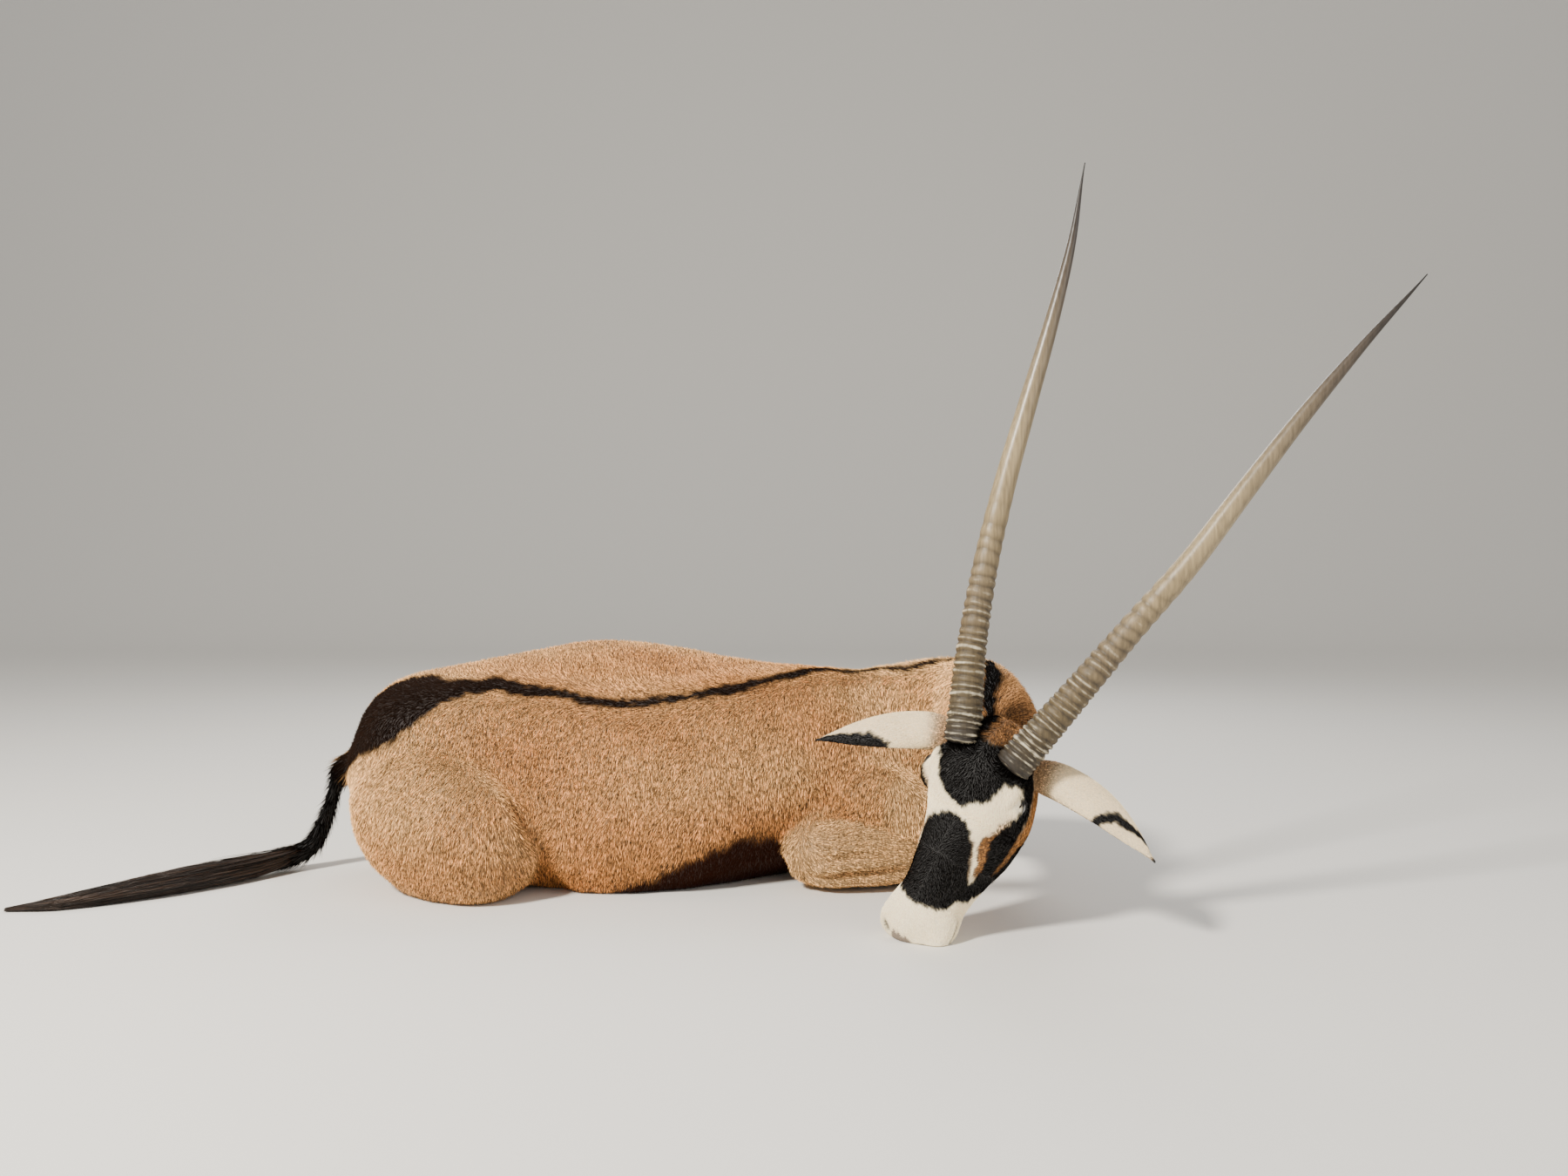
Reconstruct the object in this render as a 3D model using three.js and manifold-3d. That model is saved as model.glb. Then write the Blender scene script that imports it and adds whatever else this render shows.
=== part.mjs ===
// A life-size gemsbok (Oryx gazella) lying at rest: chest and right flank on the ground, back rolled
// towards the viewer, legs folded, neck curled round, muzzle on the ground and horns upright.
// Units are millimetres. x runs from rump to chest, y away from the viewer, z up; the floor is z = 0.
import * as THREE from 'three';
import Module from 'manifold-3d';

const wasm = await Module();
wasm.setup();

// Driving dimensions
const jointGap = 0.3; // clearance between two neighbouring pieces
const headAt = [618, -477, 311]; // midpoint between the horn bases, on the brow
const noseWay = [-0.484, -0.096, -0.87]; // from the brow to the nose
const browWay = [-0.399, -0.866, 0.3]; // out of the forehead
const hornLength = 970;
const hornBaseRadius = 30;
const hornSpacing = { right: 46, left: 54 }; // from the midline of the brow to each horn's axis
const hornSeat = -12; // how far behind the brow point the horns stand
const hornSpread = { right: 14.2, left: 12.8 }; // each horn's angle to the midline, in degrees
const hornRise = { right: 9.1, left: 2.5 }; // each horn's lean out of the line of the face, in degrees
const ringCount = 20; // rings on the lower part of a horn
const ringedShare = 0.43; // the part of a horn's length that is ringed
const ringHeight = 1.56;
const eyeAt = [56, 72, -46]; // in the head's own frame: towards the nose, to the left, out of the brow
const eyeRadius = 19;
const earWall = 4;
const neckCuts = {
  torso: { at: [560, 66, 266], way: [0.88, -0.28, 0.38] },
  neck_lower: { at: [676, -58, 310], way: [0.3, -0.95, 0.05] },
};
const neckCutReach = 900; // half the size of the tool that parts the neck
const hoofLength = 92;
const hoofSunk = 22; // how deep a claw sits in the foot

const up = new THREE.Vector3(0, 0, 1);
const floorBox = placed(new THREE.BoxGeometry(6000, 6000, 400), 0, 0, -200);

const coat = material(0xb08d6e, 0.85);
const blackCoat = material(0x17130f, 0.8);
const paleCoat = material(0xd9c7ad, 0.85);
const horn = material(0x4f463b, 0.55);
const hoofHorn = material(0x2b2724, 0.5);
const eyeball = material(0x120d0a, 0.15);

function material(color, roughness) {
  return new THREE.MeshStandardMaterial({ color, roughness, metalness: 0 });
}

function vec(p) {
  return new THREE.Vector3(...p);
}

function placed(geometry, x, y, z) {
  return geometry.translate(x, y, z);
}

// A closed body from rings of points, each end drawn together to the ring's middle.
function loft(rings) {
  const sides = rings[0].length;
  const points = rings.flat();
  const faces = [];
  for (let i = 0; i < rings.length - 1; i++) {
    for (let k = 0; k < sides; k++) {
      const a = i * sides + k;
      const b = i * sides + (k + 1) % sides;
      faces.push(a, b, b + sides, a, b + sides, a + sides);
    }
  }
  [0, rings.length - 1].forEach((i) => {
    const middle = new THREE.Vector3();
    rings[i].forEach((p) => middle.addScaledVector(p, 1 / sides));
    const m = points.push(middle) - 1;
    for (let k = 0; k < sides; k++) {
      const a = i * sides + k;
      const b = i * sides + (k + 1) % sides;
      faces.push(...(i === 0 ? [m, b, a] : [m, a, b]));
    }
  });
  const geometry = new THREE.BufferGeometry().setFromPoints(points);
  return geometry.setIndex(faces);
}

// A three.js geometry as a solid with its faces pointing out.
function solid(geometry) {
  const position = geometry.getAttribute('position');
  const keys = new Map();
  const vertices = [];
  const same = [];
  for (let i = 0; i < position.count; i++) {
    const p = [position.getX(i), position.getY(i), position.getZ(i)];
    const key = p.map((v) => Math.round(v * 1e4)).join();
    if (!keys.has(key)) {
      keys.set(key, keys.size);
      vertices.push(...p);
    }
    same.push(keys.get(key));
  }
  const index = geometry.index ? Array.from(geometry.index.array) : same.map((_, i) => i);
  let triVerts = index.map((i) => same[i]);
  const kept = [];
  for (let i = 0; i < triVerts.length; i += 3) {
    const [a, b, c] = triVerts.slice(i, i + 3);
    if (a !== b && b !== c && c !== a) kept.push(a, b, c);
  }
  triVerts = kept;
  let made = new wasm.Manifold(mesh3(vertices, triVerts));
  if (made.volume() < 0) {
    for (let i = 0; i < triVerts.length; i += 3) {
      [triVerts[i + 1], triVerts[i + 2]] = [triVerts[i + 2], triVerts[i + 1]];
    }
    made = new wasm.Manifold(mesh3(vertices, triVerts));
  }
  return made;
}

function mesh3(vertices, triVerts) {
  return new wasm.Mesh({
    numProp: 3,
    vertProperties: new Float32Array(vertices),
    triVerts: new Uint32Array(triVerts),
  });
}

// The largest closed piece of a solid, which drops any loose scrap.
function largest(body) {
  return body.decompose().reduce((a, b) => (b.volume() > a.volume() ? b : a));
}

// A solid as a three.js geometry.
function shaped(body) {
  const { vertProperties, triVerts } = body.getMesh();
  const geometry = new THREE.BufferGeometry()
    .setAttribute('position', new THREE.BufferAttribute(vertProperties, 3))
    .setIndex(new THREE.BufferAttribute(triVerts, 1));
  geometry.computeVertexNormals();
  return geometry;
}

// The same solid with its surface moved out, or in where the distance is negative.
function grown(body, distance = jointGap) {
  const geometry = shaped(body);
  const position = geometry.getAttribute('position');
  const normal = geometry.getAttribute('normal');
  for (let i = 0; i < position.count; i++) {
    const p = new THREE.Vector3().fromBufferAttribute(position, i);
    p.addScaledVector(new THREE.Vector3().fromBufferAttribute(normal, i), distance);
    position.setXYZ(i, p.x, p.y, p.z);
  }
  return solid(geometry);
}

function named(name, body, finish) {
  const mesh = new THREE.Mesh(shaped(largest(body)), finish);
  mesh.name = name;
  return mesh;
}

// A smooth value between evenly numbered stations.
function smooth(values, t) {
  const last = values.length - 1;
  const x = THREE.MathUtils.clamp(t, 0, 1) * last;
  const i = Math.min(Math.floor(x), last - 1);
  const f = x - i;
  const a = values[Math.max(i - 1, 0)];
  const b = values[i];
  const c = values[i + 1];
  const d = values[Math.min(i + 2, last)];
  return b + 0.5 * f * (c - a + f * (2 * a - 5 * b + 4 * c - d + f * (3 * (b - c) + d - a)));
}

// Trunk and neck: one tube from the rump to the skull. Each station has the axis point, the back's roll
// towards the animal's right in degrees, and the reach to the left, right, back and belly.
const trunkStations = [
  { x: -560, y: -28, z: 190, roll: 45, left: 168, right: 168, back: 150, belly: 150 },
  { x: -470, y: -12, z: 198, roll: 44, left: 200, right: 196, back: 172, belly: 178 },
  { x: -350, y: 0, z: 205, roll: 44, left: 228, right: 214, back: 182, belly: 210 },
  { x: -210, y: 5, z: 215, roll: 45, left: 258, right: 250, back: 168, belly: 258 },
  { x: -60, y: 10, z: 222, roll: 46, left: 281, right: 296, back: 165, belly: 300 },
  { x: 90, y: 20, z: 220, roll: 42, left: 262, right: 284, back: 178, belly: 292 },
  { x: 220, y: 40, z: 215, roll: 36, left: 225, right: 242, back: 194, belly: 268 },
  { x: 345, y: 60, z: 218, roll: 31, left: 182, right: 200, back: 199, belly: 252 },
  { x: 460, y: 72, z: 232, roll: 28, left: 150, right: 164, back: 182, belly: 226 },
  { x: 570, y: 62, z: 270, roll: 18, left: 118, right: 126, back: 152, belly: 200 },
  { x: 650, y: 8, z: 302, roll: 0, left: 94, right: 92, back: 129, belly: 160 },
  { x: 678, y: -82, z: 312, roll: -14, left: 78, right: 80, back: 115, belly: 136 },
  { x: 684, y: -180, z: 304, roll: -20, left: 72, right: 76, back: 102, belly: 126 },
  { x: 680, y: -280, z: 286, roll: -20, left: 76, right: 72, back: 92, belly: 124 },
  { x: 662, y: -372, z: 262, roll: -18, left: 70, right: 60, back: 68, belly: 118 },
];
const rumpRound = 0.105; // share of the tube over which the rump closes
const rumpShare = 0.2; // share of the rings spent on it
const rumpFullness = 2.4; // a round end has 2, a blunter one more
const trunkSides = 22;
const trunkRings = 36;
const ridge = 0.24; // how much the section narrows towards the spine
const boxiness = 0.92; // 1 gives an oval section, less a squarer one

const trunkAxis = new THREE.CatmullRomCurve3(trunkStations.map((s) => new THREE.Vector3(s.x, s.y, s.z)));

function trunkRing(t) {
  const centre = trunkAxis.getPoint(t);
  const along = trunkAxis.getTangent(t);
  const of = (key) => smooth(trunkStations.map((s) => s[key]), t);
  const roll = THREE.MathUtils.degToRad(of('roll'));
  const right0 = new THREE.Vector3().crossVectors(along, up).normalize();
  const up0 = new THREE.Vector3().crossVectors(right0, along);
  const back = up0.clone().multiplyScalar(Math.cos(roll)).addScaledVector(right0, Math.sin(roll));
  const left = up0.clone().multiplyScalar(Math.sin(roll)).addScaledVector(right0, -Math.cos(roll));
  const closing = Math.min(t / rumpRound, 1);
  const cap = Math.sqrt(1 - (1 - closing) ** rumpFullness);
  return Array.from({ length: trunkSides }, (_, k) => {
    const a = (2 * Math.PI * k) / trunkSides;
    const c = Math.cos(a);
    const s = Math.sin(a);
    const narrow = 1 - ridge * Math.max(c, 0) ** 3;
    const side = Math.sign(s) * Math.abs(s) ** boxiness * (s > 0 ? of('left') : of('right')) * narrow;
    const height = Math.sign(c) * Math.abs(c) ** boxiness * (c > 0 ? of('back') : of('belly'));
    return centre.clone().addScaledVector(left, side * cap).addScaledVector(back, height * cap);
  });
}

function trunkAndNeck() {
  const rings = [];
  for (let i = 0; i < trunkRings; i++) {
    const u = i / (trunkRings - 1);
    const v = u / rumpShare;
    const t = v < 1 ? rumpRound * (1 - Math.cos(v * 0.5 * Math.PI)) + 0.0008
      : rumpRound + ((u - rumpShare) / (1 - rumpShare)) * (1 - rumpRound);
    rings.push(trunkRing(Math.min(t, 1)));
  }
  return mane().reduce((body, one) => body.add(one), solid(loft(rings)));
}

// The short mane on the nape: a row of flat locks along the crest, leaning back towards the withers.
const maneLocks = 13;
const maneFrom = 0.8; // share of the trunk and neck where the mane starts
const maneTo = 0.985;
const maneHeight = 30;
const maneWidth = 26;
const maneThick = 11;
const maneSway = 5; // how far a lock may lean to one side
const maneJitter = 0.3; // uneven spacing of the locks, as a share of their distance

function mane() {
  const draw = draws(3);
  const locks = [];
  for (let i = 0; i < maneLocks; i++) {
    const t = maneFrom + ((maneTo - maneFrom) * (i + maneJitter * draw())) / (maneLocks - 1);
    const crest = trunkRing(t)[0];
    const centre = trunkAxis.getPoint(t);
    const out = crest.clone().sub(centre).normalize();
    const backward = trunkAxis.getTangent(t).negate();
    const side = new THREE.Vector3().crossVectors(out, backward).multiplyScalar(maneSway * (draw() - 0.5));
    const tall = maneHeight * (0.8 + 0.4 * draw());
    const bends = [[-12, -4], [0.25 * tall, 3], [0.7 * tall, 14], [tall, 30]];
    const points = bends.map(([rise, lean]) => crest.clone().addScaledVector(out, rise)
      .addScaledVector(backward, lean).addScaledVector(side, rise / tall));
    locks.push(lock(points, maneWidth, maneThick, { facing: side.clone().normalize(), steps: 3 }));
  }
  return locks;
}

// A length of a limb: rings round a smooth path of [x, y, z, radius], with rounded ends. The rings follow
// the path's general course, so that they don't cross where it bends.
const courseReach = 0.16;
const roundShare = 0.1; // share of a length over which each end is rounded
const endShare = 0.03; // share of it left out where a ring would be almost a point

function length(stations, { sides, rings }) {
  const axis = new THREE.CatmullRomCurve3(stations.map((s) => new THREE.Vector3(...s)));
  const radii = stations.map((s) => s[3]);
  const made = [];
  for (let i = 0; i <= rings; i++) {
    const t = 0.5 - 0.5 * Math.cos(Math.PI * (endShare + ((1 - 2 * endShare) * i) / rings));
    const start = Math.min(t / roundShare, 1);
    const end = Math.min((1 - t) / roundShare, 1);
    const cap = Math.sqrt(1 - (1 - start) ** 2) * Math.sqrt(1 - (1 - end) ** 2);
    const centre = axis.getPoint(t);
    const before = axis.getPoint(Math.max(t - courseReach, 0));
    const along = axis.getPoint(Math.min(t + courseReach, 1)).sub(before);
    const side = new THREE.Vector3().crossVectors(along, up).normalize();
    const high = new THREE.Vector3().crossVectors(side, along).normalize();
    const r = smooth(radii, t) * cap;
    made.push(Array.from({ length: sides }, (_, k) => {
      const a = (2 * Math.PI * k) / sides;
      return centre.clone().addScaledVector(side, r * Math.sin(a)).addScaledVector(high, r * Math.cos(a));
    }));
  }
  return solid(loft(made));
}

const limbDetail = { sides: 9, rings: 7 };

// Legs, each folded in lengths from its root in the trunk to the pastern. The third length of the right
// foreleg is the muscle of the breast beside it.
const legs = {
  hindleg_right: [
    [
      [-466, 0, 200, 100], [-392, -90, 150, 142], [-294, -168, 106, 140], [-210, -210, 84, 114],
      [-150, -224, 64, 58],
    ],
    [[-178, -180, 66, 66], [-262, -52, 50, 50], [-350, 80, 44, 38], [-440, 212, 42, 30]],
    [[-445, 200, 38, 28], [-380, 265, 34, 26], [-270, 330, 26, 21], [-160, 380, 27, 24]],
  ],
  hindleg_left: [
    [[-420, 60, 270, 100], [-350, 170, 256, 128], [-250, 245, 222, 108], [-130, 310, 176, 70]],
    [[-125, 300, 165, 62], [-160, 350, 120, 56], [-240, 385, 80, 42], [-380, 440, 46, 28]],
    [[-385, 440, 44, 28], [-330, 466, 32, 25], [-250, 484, 26, 21], [-130, 503, 27, 24]],
  ],
  foreleg_right: [
    [[450, 20, 156, 50], [390, -60, 116, 68], [330, -118, 80, 62]],
    [[300, -128, 66, 56], [395, -148, 64, 66], [510, -142, 56, 54], [600, -116, 44, 40], [655, -92, 36, 24]],
    [[415, -30, 168, 92], [480, -72, 138, 92], [560, -84, 108, 76], [622, -84, 84, 44]],
    [[656, -72, 32, 26], [570, -20, 26, 23], [480, 10, 24, 20], [395, 37, 26, 23]],
  ],
  foreleg_left: [
    [[450, 140, 175, 50], [400, 215, 126, 64], [345, 264, 82, 58]],
    [[332, 270, 74, 50], [430, 272, 64, 54], [530, 262, 48, 42], [612, 248, 41, 35], [655, 238, 36, 24]],
    [[656, 226, 32, 26], [570, 196, 26, 22], [490, 178, 24, 20], [410, 160, 26, 23]],
  ],
};

// Hoofs: where each foot's pastern ends and the way its toes point.
const feet = {
  hind_right: { at: [-170, 376, 27], way: [0.92, 0.38, -0.06] },
  hind_left: { at: [-140, 502, 27], way: [0.99, 0.12, -0.06] },
  fore_right: { at: [405, 33, 26], way: [-0.97, 0.2, -0.06] },
  fore_left: { at: [420, 164, 26], way: [-0.97, -0.2, -0.06] },
};

// One long pointed claw, from its root to its tip: half widths, heights and drop below the foot's line.
const clawWidths = [13, 16, 16.5, 15, 10, 2];
const clawHeights = [17, 20, 19, 14, 8, 2];
const clawDrop = [0, -2, -5, -9, -13, -17];
const clawApart = 13.6; // from the foot's line to each claw's root
const clawSplay = 2;
const clawNarrow = 0.8; // so that the two claws of a foot stay apart

function claw(foot, side) {
  const way = vec(foot.way).normalize();
  const out = new THREE.Vector3().crossVectors(way, up).normalize().multiplyScalar(side);
  const high = new THREE.Vector3().crossVectors(out, way).normalize();
  if (high.z < 0) high.negate();
  const rings = [];
  const steps = 6;
  for (let i = 0; i <= steps; i++) {
    const t = i / steps;
    const centre = vec(foot.at).addScaledVector(way, t * hoofLength - hoofSunk)
      .addScaledVector(out, clawApart + clawSplay * t).addScaledVector(high, smooth(clawDrop, t));
    rings.push(Array.from({ length: 8 }, (_, k) => {
      const a = (2 * Math.PI * k) / 8;
      return centre.clone().addScaledVector(out, clawNarrow * smooth(clawWidths, t) * Math.sin(a))
        .addScaledVector(high, smooth(clawHeights, t) * Math.cos(a));
    }));
  }
  return solid(loft(rings));
}

// The head's own frame: n towards the nose, l to the animal's left, d out of the brow.
const toNose = vec(noseWay).normalize();
const outOfBrow = vec(browWay).addScaledVector(toNose, -vec(browWay).dot(toNose)).normalize();
const toLeft = new THREE.Vector3().crossVectors(outOfBrow, toNose);
const headFrame = new THREE.Matrix4().makeBasis(toNose, toLeft, outOfBrow).setPosition(...headAt);

function onHead(n, l, d) {
  return new THREE.Vector3(n, l, d).applyMatrix4(headFrame);
}

// Sections of the head: the place along it, the midline heights of top and chin, the half width and drop of
// the edge of the brow or nose bridge, the half widths and heights of cheek and jaw, and how far the lower
// face sags to the left, where it rests on the ground.
const headKeys = ['n', 'top', 'chin', 'edge', 'edgeDrop', 'cheek', 'cheekAt', 'jaw', 'jawAt', 'sag'];
const headSections = [
  [-62, -38, -112, 18, 7, 27, -76, 17, -100, 0],
  [-44, -17, -136, 33, 9, 49, -70, 34, -118, 0],
  [-18, -4, -160, 46, 10, 63, -62, 50, -132, 6],
  [16, 1, -180, 53, 9, 73, -58, 58, -144, 12],
  [48, 4, -188, 56, 9, 78, -56, 62, -148, 18],
  [78, 2, -188, 55, 9, 79, -56, 62, -148, 24],
  [108, -2, -180, 45, 9, 69, -62, 58, -142, 28],
  [150, -8, -164, 34, 8, 57, -66, 52, -130, 28],
  [200, -15, -142, 30, 8, 48, -64, 43, -116, 20],
  [245, -22, -127, 29, 9, 48, -64, 40, -106, 16],
  [282, -29, -122, 33, 10, 58, -64, 46, -103, 16],
  [310, -38, -117, 36, 12, 60, -66, 44, -101, 13],
  [330, -51, -106, 29, 11, 49, -72, 33, -96, 8],
  [338, -60, -98, 19, 7, 30, -77, 20, -91, 5],
];
const headSides = 24;
const headRings = 29;

const muzzleTwist = THREE.MathUtils.degToRad(9); // turn of the muzzle about the line of the face
const twistFrom = 60; // places along the head between which it sets in
const twistTo = 240;
// How the sag grows: fully so far below the brow, mostly on the left side, and on the whole of the jaw.
const sagDepth = 80;
const sagSide = { width: 60, middle: 0.6, least: 0.2 };
const sagJaw = { depth: 60, from: 1.33, most: 0.9 };

function headRing(t) {
  const of = (key) => smooth(headSections.map((s) => s[headKeys.indexOf(key)]), t);
  const half = [
    [0, of('top')],
    [of('edge'), of('top') - of('edgeDrop')],
    [of('cheek'), of('cheekAt')],
    [of('jaw'), of('jawAt')],
    [0, of('chin')],
  ];
  const loop = [...half, ...half.slice(1, 4).reverse().map(([l, d]) => [-l, d])];
  const sag = (l, d) => {
    const depth = THREE.MathUtils.clamp((of('top') - d) / sagDepth, 0, 1);
    const jaw = THREE.MathUtils.clamp((of('top') - d) / sagJaw.depth - sagJaw.from, 0, sagJaw.most);
    const left = THREE.MathUtils.clamp(sagSide.middle + l / sagSide.width, sagSide.least, 1);
    return of('sag') * depth * Math.max(left, jaw);
  };
  const points = loop.map(([l, d]) => new THREE.Vector3(0, l + sag(l, d), d));
  const outline = new THREE.CatmullRomCurve3(points, true, 'centripetal');
  const twist = muzzleTwist * THREE.MathUtils.smoothstep(of('n'), twistFrom, twistTo);
  return Array.from({ length: headSides }, (_, k) => {
    const p = outline.getPoint(k / headSides);
    p.applyAxisAngle(new THREE.Vector3(1, 0, 0), twist);
    return onHead(of('n'), p.y, p.z);
  });
}

function headCore() {
  const rings = [];
  for (let i = 0; i < headRings; i++) {
    rings.push(headRing(i / (headRings - 1)));
  }
  return solid(loft(rings));
}

// An ellipsoid in the head's frame; the turn goes with the muzzle.
function headBulge([n, l, d], radii, { twist = 0, detail = 12 } = {}) {
  const geometry = new THREE.SphereGeometry(1, detail, Math.round(detail * 0.7));
  geometry.scale(...radii).translate(n, l, d).rotateX(twist);
  return solid(geometry.applyMatrix4(headFrame));
}

const lidBulge = [34, 27, 25];
const lidShift = [7, -5, 0]; // from the eye's middle, the second value outwards
const browBulge = [36, 20, 14];
const browShift = [-14, -12, 24];
const nostrilAt = [324, 36, -62];
const nostril = [12, 8, 6];

function eyeCentre(side) {
  return [eyeAt[0], side * eyeAt[1], eyeAt[2]];
}

// The slit between the lids, an almond pushed outwards from the eye.
const lid = { reach: 16, rise: 17, drop: 11, depth: 40 };

function lidOpening(side) {
  const shape = new THREE.Shape();
  shape.moveTo(-lid.reach, 0);
  shape.quadraticCurveTo(0, lid.rise, lid.reach, -1);
  shape.quadraticCurveTo(0, -lid.drop, -lid.reach, 0);
  const slit = new THREE.ExtrudeGeometry(shape, { depth: lid.depth, bevelEnabled: false, curveSegments: 8 });
  slit.rotateX(side * -0.5 * Math.PI);
  if (side < 0) slit.scale(1, 1, -1);
  const [n, l, d] = eyeCentre(side);
  return solid(slit.translate(n, l, d).applyMatrix4(headFrame));
}

// The mouth: a thin slot round the muzzle along the line of the lips.
const lipLine = [[345, -84], [318, -82], [290, -80], [268, -81], [252, -80]];
const mouthDepth = 6;
const mouthReach = 160;
const mouthGap = 2.6;

function mouthSlot() {
  const line = new THREE.CatmullRomCurve3(lipLine.map(([n, d]) => new THREE.Vector3(n, 0, d)));
  const above = line.getPoints(10).map((p) => [p.x, p.z + mouthGap / 2]);
  const below = line.getPoints(10).map((p) => [p.x, p.z - mouthGap / 2]).reverse();
  const shape = new THREE.Shape([...above, ...below].map(([n, d]) => new THREE.Vector2(n, d)));
  const slab = new THREE.ExtrudeGeometry(shape, { depth: mouthReach, bevelEnabled: false });
  slab.translate(0, 0, -mouthReach / 2).rotateX(Math.PI / 2 + muzzleTwist);
  return solid(slab.applyMatrix4(headFrame)).subtract(grown(headCore(), -mouthDepth));
}

// One horn: a gently bowed, tapering cone with rings on its lower part.
const hornTaper = [30, 26.8, 24.4, 22.6, 21.2, 20, 19, 17.8, 16.6, 15.2, 13.6, 11.8, 9.6, 6.8, 3.8, 0.9];
// How far each horn swings outwards from its chord, from its root to its tip.
const hornBow = {
  right: [0, -15, -21, -17, -6, 6, 13, 8],
  left: [0, 3, 5, 9, 3, -2, -1, 5],
};
const hornRoot = 22; // how deep a horn is set in the skull
const hornSides = 9;
const ringCrowding = 0.6; // how much closer the rings stand at the root than evenly
const ringsFrom = 0.02; // share of the horn's length where the rings start
const smoothLevels = 9; // rings of points above the ringed part

function hornPath(side) {
  const name = side > 0 ? 'left' : 'right';
  const spread = THREE.MathUtils.degToRad(hornSpread[name]) * side;
  const rise = THREE.MathUtils.degToRad(hornRise[name]);
  const way = new THREE.Vector3(
    -Math.cos(spread) * Math.cos(rise),
    Math.sin(spread),
    Math.cos(spread) * Math.sin(rise),
  );
  const aside = new THREE.Vector3(Math.sin(spread), Math.cos(spread), 0);
  return (s) => new THREE.Vector3(hornSeat, side * hornSpacing[name], hornSeat)
    .addScaledVector(way, s * (hornLength + hornRoot) - hornRoot)
    .addScaledVector(aside, smooth(hornBow[name], s));
}

function hornBody(side) {
  const path = hornPath(side);
  const levels = [];
  const ringed = ringCount * 2;
  for (let i = 0; i <= ringed; i++) {
    const wave = i / 2 / ringCount;
    const slope = 1 + ringCrowding;
    const root = Math.sqrt(slope ** 2 - 4 * ringCrowding * Math.min(wave, 1));
    const share = (slope - root) / (2 * ringCrowding);
    levels.push({ s: ringsFrom + share * (ringedShare - ringsFrom), lift: i % 2 ? 1 : -0.6 });
  }
  levels.unshift({ s: 0, lift: 0 });
  for (let i = 1; i <= smoothLevels; i++) {
    levels.push({ s: ringedShare + (i / smoothLevels) * (1 - ringedShare), lift: 0 });
  }
  const rings = levels.map(({ s, lift }) => {
    const p = path(s);
    const along = path(Math.min(s + 0.01, 1.01)).sub(p).normalize();
    const side1 = new THREE.Vector3().crossVectors(along, new THREE.Vector3(0, 0, 1)).normalize();
    const side2 = new THREE.Vector3().crossVectors(side1, along);
    const fade = Math.max(0, 1 - (s / ringedShare) ** 4);
    const r = smooth(hornTaper, s) * (hornBaseRadius / hornTaper[0]) + lift * ringHeight * fade;
    return Array.from({ length: hornSides }, (_, k) => {
      const a = (2 * Math.PI * k) / hornSides;
      return p.clone().addScaledVector(side1, r * Math.sin(a)).addScaledVector(side2, r * Math.cos(a))
        .applyMatrix4(headFrame);
    });
  });
  return solid(loft(rings));
}

// Ears: a leaf with a rolled root and a cupped inside. Each is a path, the way its cup opens and its size.
const ears = {
  right: {
    path: [[594, -418, 324], [540, -404, 330], [470, -398, 328], [404, -394, 320], [353, -390, 312]],
    opens: [-0.05, 0.6, -0.8],
  },
  left: {
    path: [[690, -430, 268], [742, -452, 254], [800, -485, 219], [844, -511, 177], [875, -528, 142]],
    opens: [-0.1, 0.55, -0.8],
  },
};
const earHalfWidths = [18, 29, 36, 39, 39, 35, 28, 19, 10, 2.5];
const earCup = [18, 25, 27, 26, 23, 19, 15, 11, 7, 2.2];
const earWrap = [165, 150, 122, 108, 100, 96, 94, 92, 90, 90].map(THREE.MathUtils.degToRad);
const earSteps = 13;
const earArc = 9;

function earBody(ear) {
  const axis = new THREE.CatmullRomCurve3(ear.path.map(vec));
  const rings = [];
  for (let i = 0; i <= earSteps; i++) {
    const t = i / earSteps;
    const centre = axis.getPoint(t);
    const along = axis.getTangent(t);
    const opens = vec(ear.opens).addScaledVector(along, -vec(ear.opens).dot(along)).normalize();
    const across = new THREE.Vector3().crossVectors(along, opens);
    const w = smooth(earHalfWidths, t);
    const c = smooth(earCup, t);
    const wrap = smooth(earWrap, t);
    const wall = Math.min(earWall, 0.8 * w, 0.8 * c);
    const at = (a, inset) => centre.clone().addScaledVector(across, (w - inset) * Math.sin(a))
      .addScaledVector(opens, -(c - inset) * Math.cos(a));
    const outer = [];
    const inner = [];
    for (let k = 0; k < earArc; k++) {
      const a = wrap * ((2 * k) / (earArc - 1) - 1);
      outer.push(at(a, 0));
      inner.unshift(at(a * 0.97, wall));
    }
    rings.push([...outer, ...inner]);
  }
  return solid(loft(rings));
}

// Tail: a haired stalk from the rump down to the ground, then a long tuft lying along the ground.
const tailStalk = [
  [-548, -30, 236, 26], [-580, -20, 200, 22], [-602, -5, 140, 20], [-622, 4, 86, 21],
  [-646, 2, 46, 24], [-678, -20, 30, 27], [-712, -56, 27, 24],
];
const tailDetail = { rings: 9, sides: 9 };
const tuftPath = [
  [-650, 0, 44], [-700, -48, 28], [-790, -146, 24], [-900, -236, 17], [-980, -284, 10], [-1060, -300, 4],
];
const tuftSpread = [20, 30, 34, 30, 20, 5];
const tuftRise = [20, 27, 26, 19, 11, 3];
const tuftLocks = 16;
// The solid middle that the locks lie round.
const tuftCore = { stations: [0, 0.2, 0.4, 0.6, 0.78], radius: 0.62 };
const lockTurn = 2.4; // angle between one lock and the next, in radians
const lockSize = { width: 22, more: 8, thick: 9 };

// A seeded draw, so that each build gives the same locks.
function draws(seed) {
  let a = seed;
  return () => {
    a = (a + 0x6d2b79f5) | 0;
    let t = Math.imul(a ^ (a >>> 15), 1 | a);
    t = (t + Math.imul(t ^ (t >>> 7), 61 | t)) ^ t;
    return ((t ^ (t >>> 14)) >>> 0) / 4294967296;
  };
}

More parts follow.
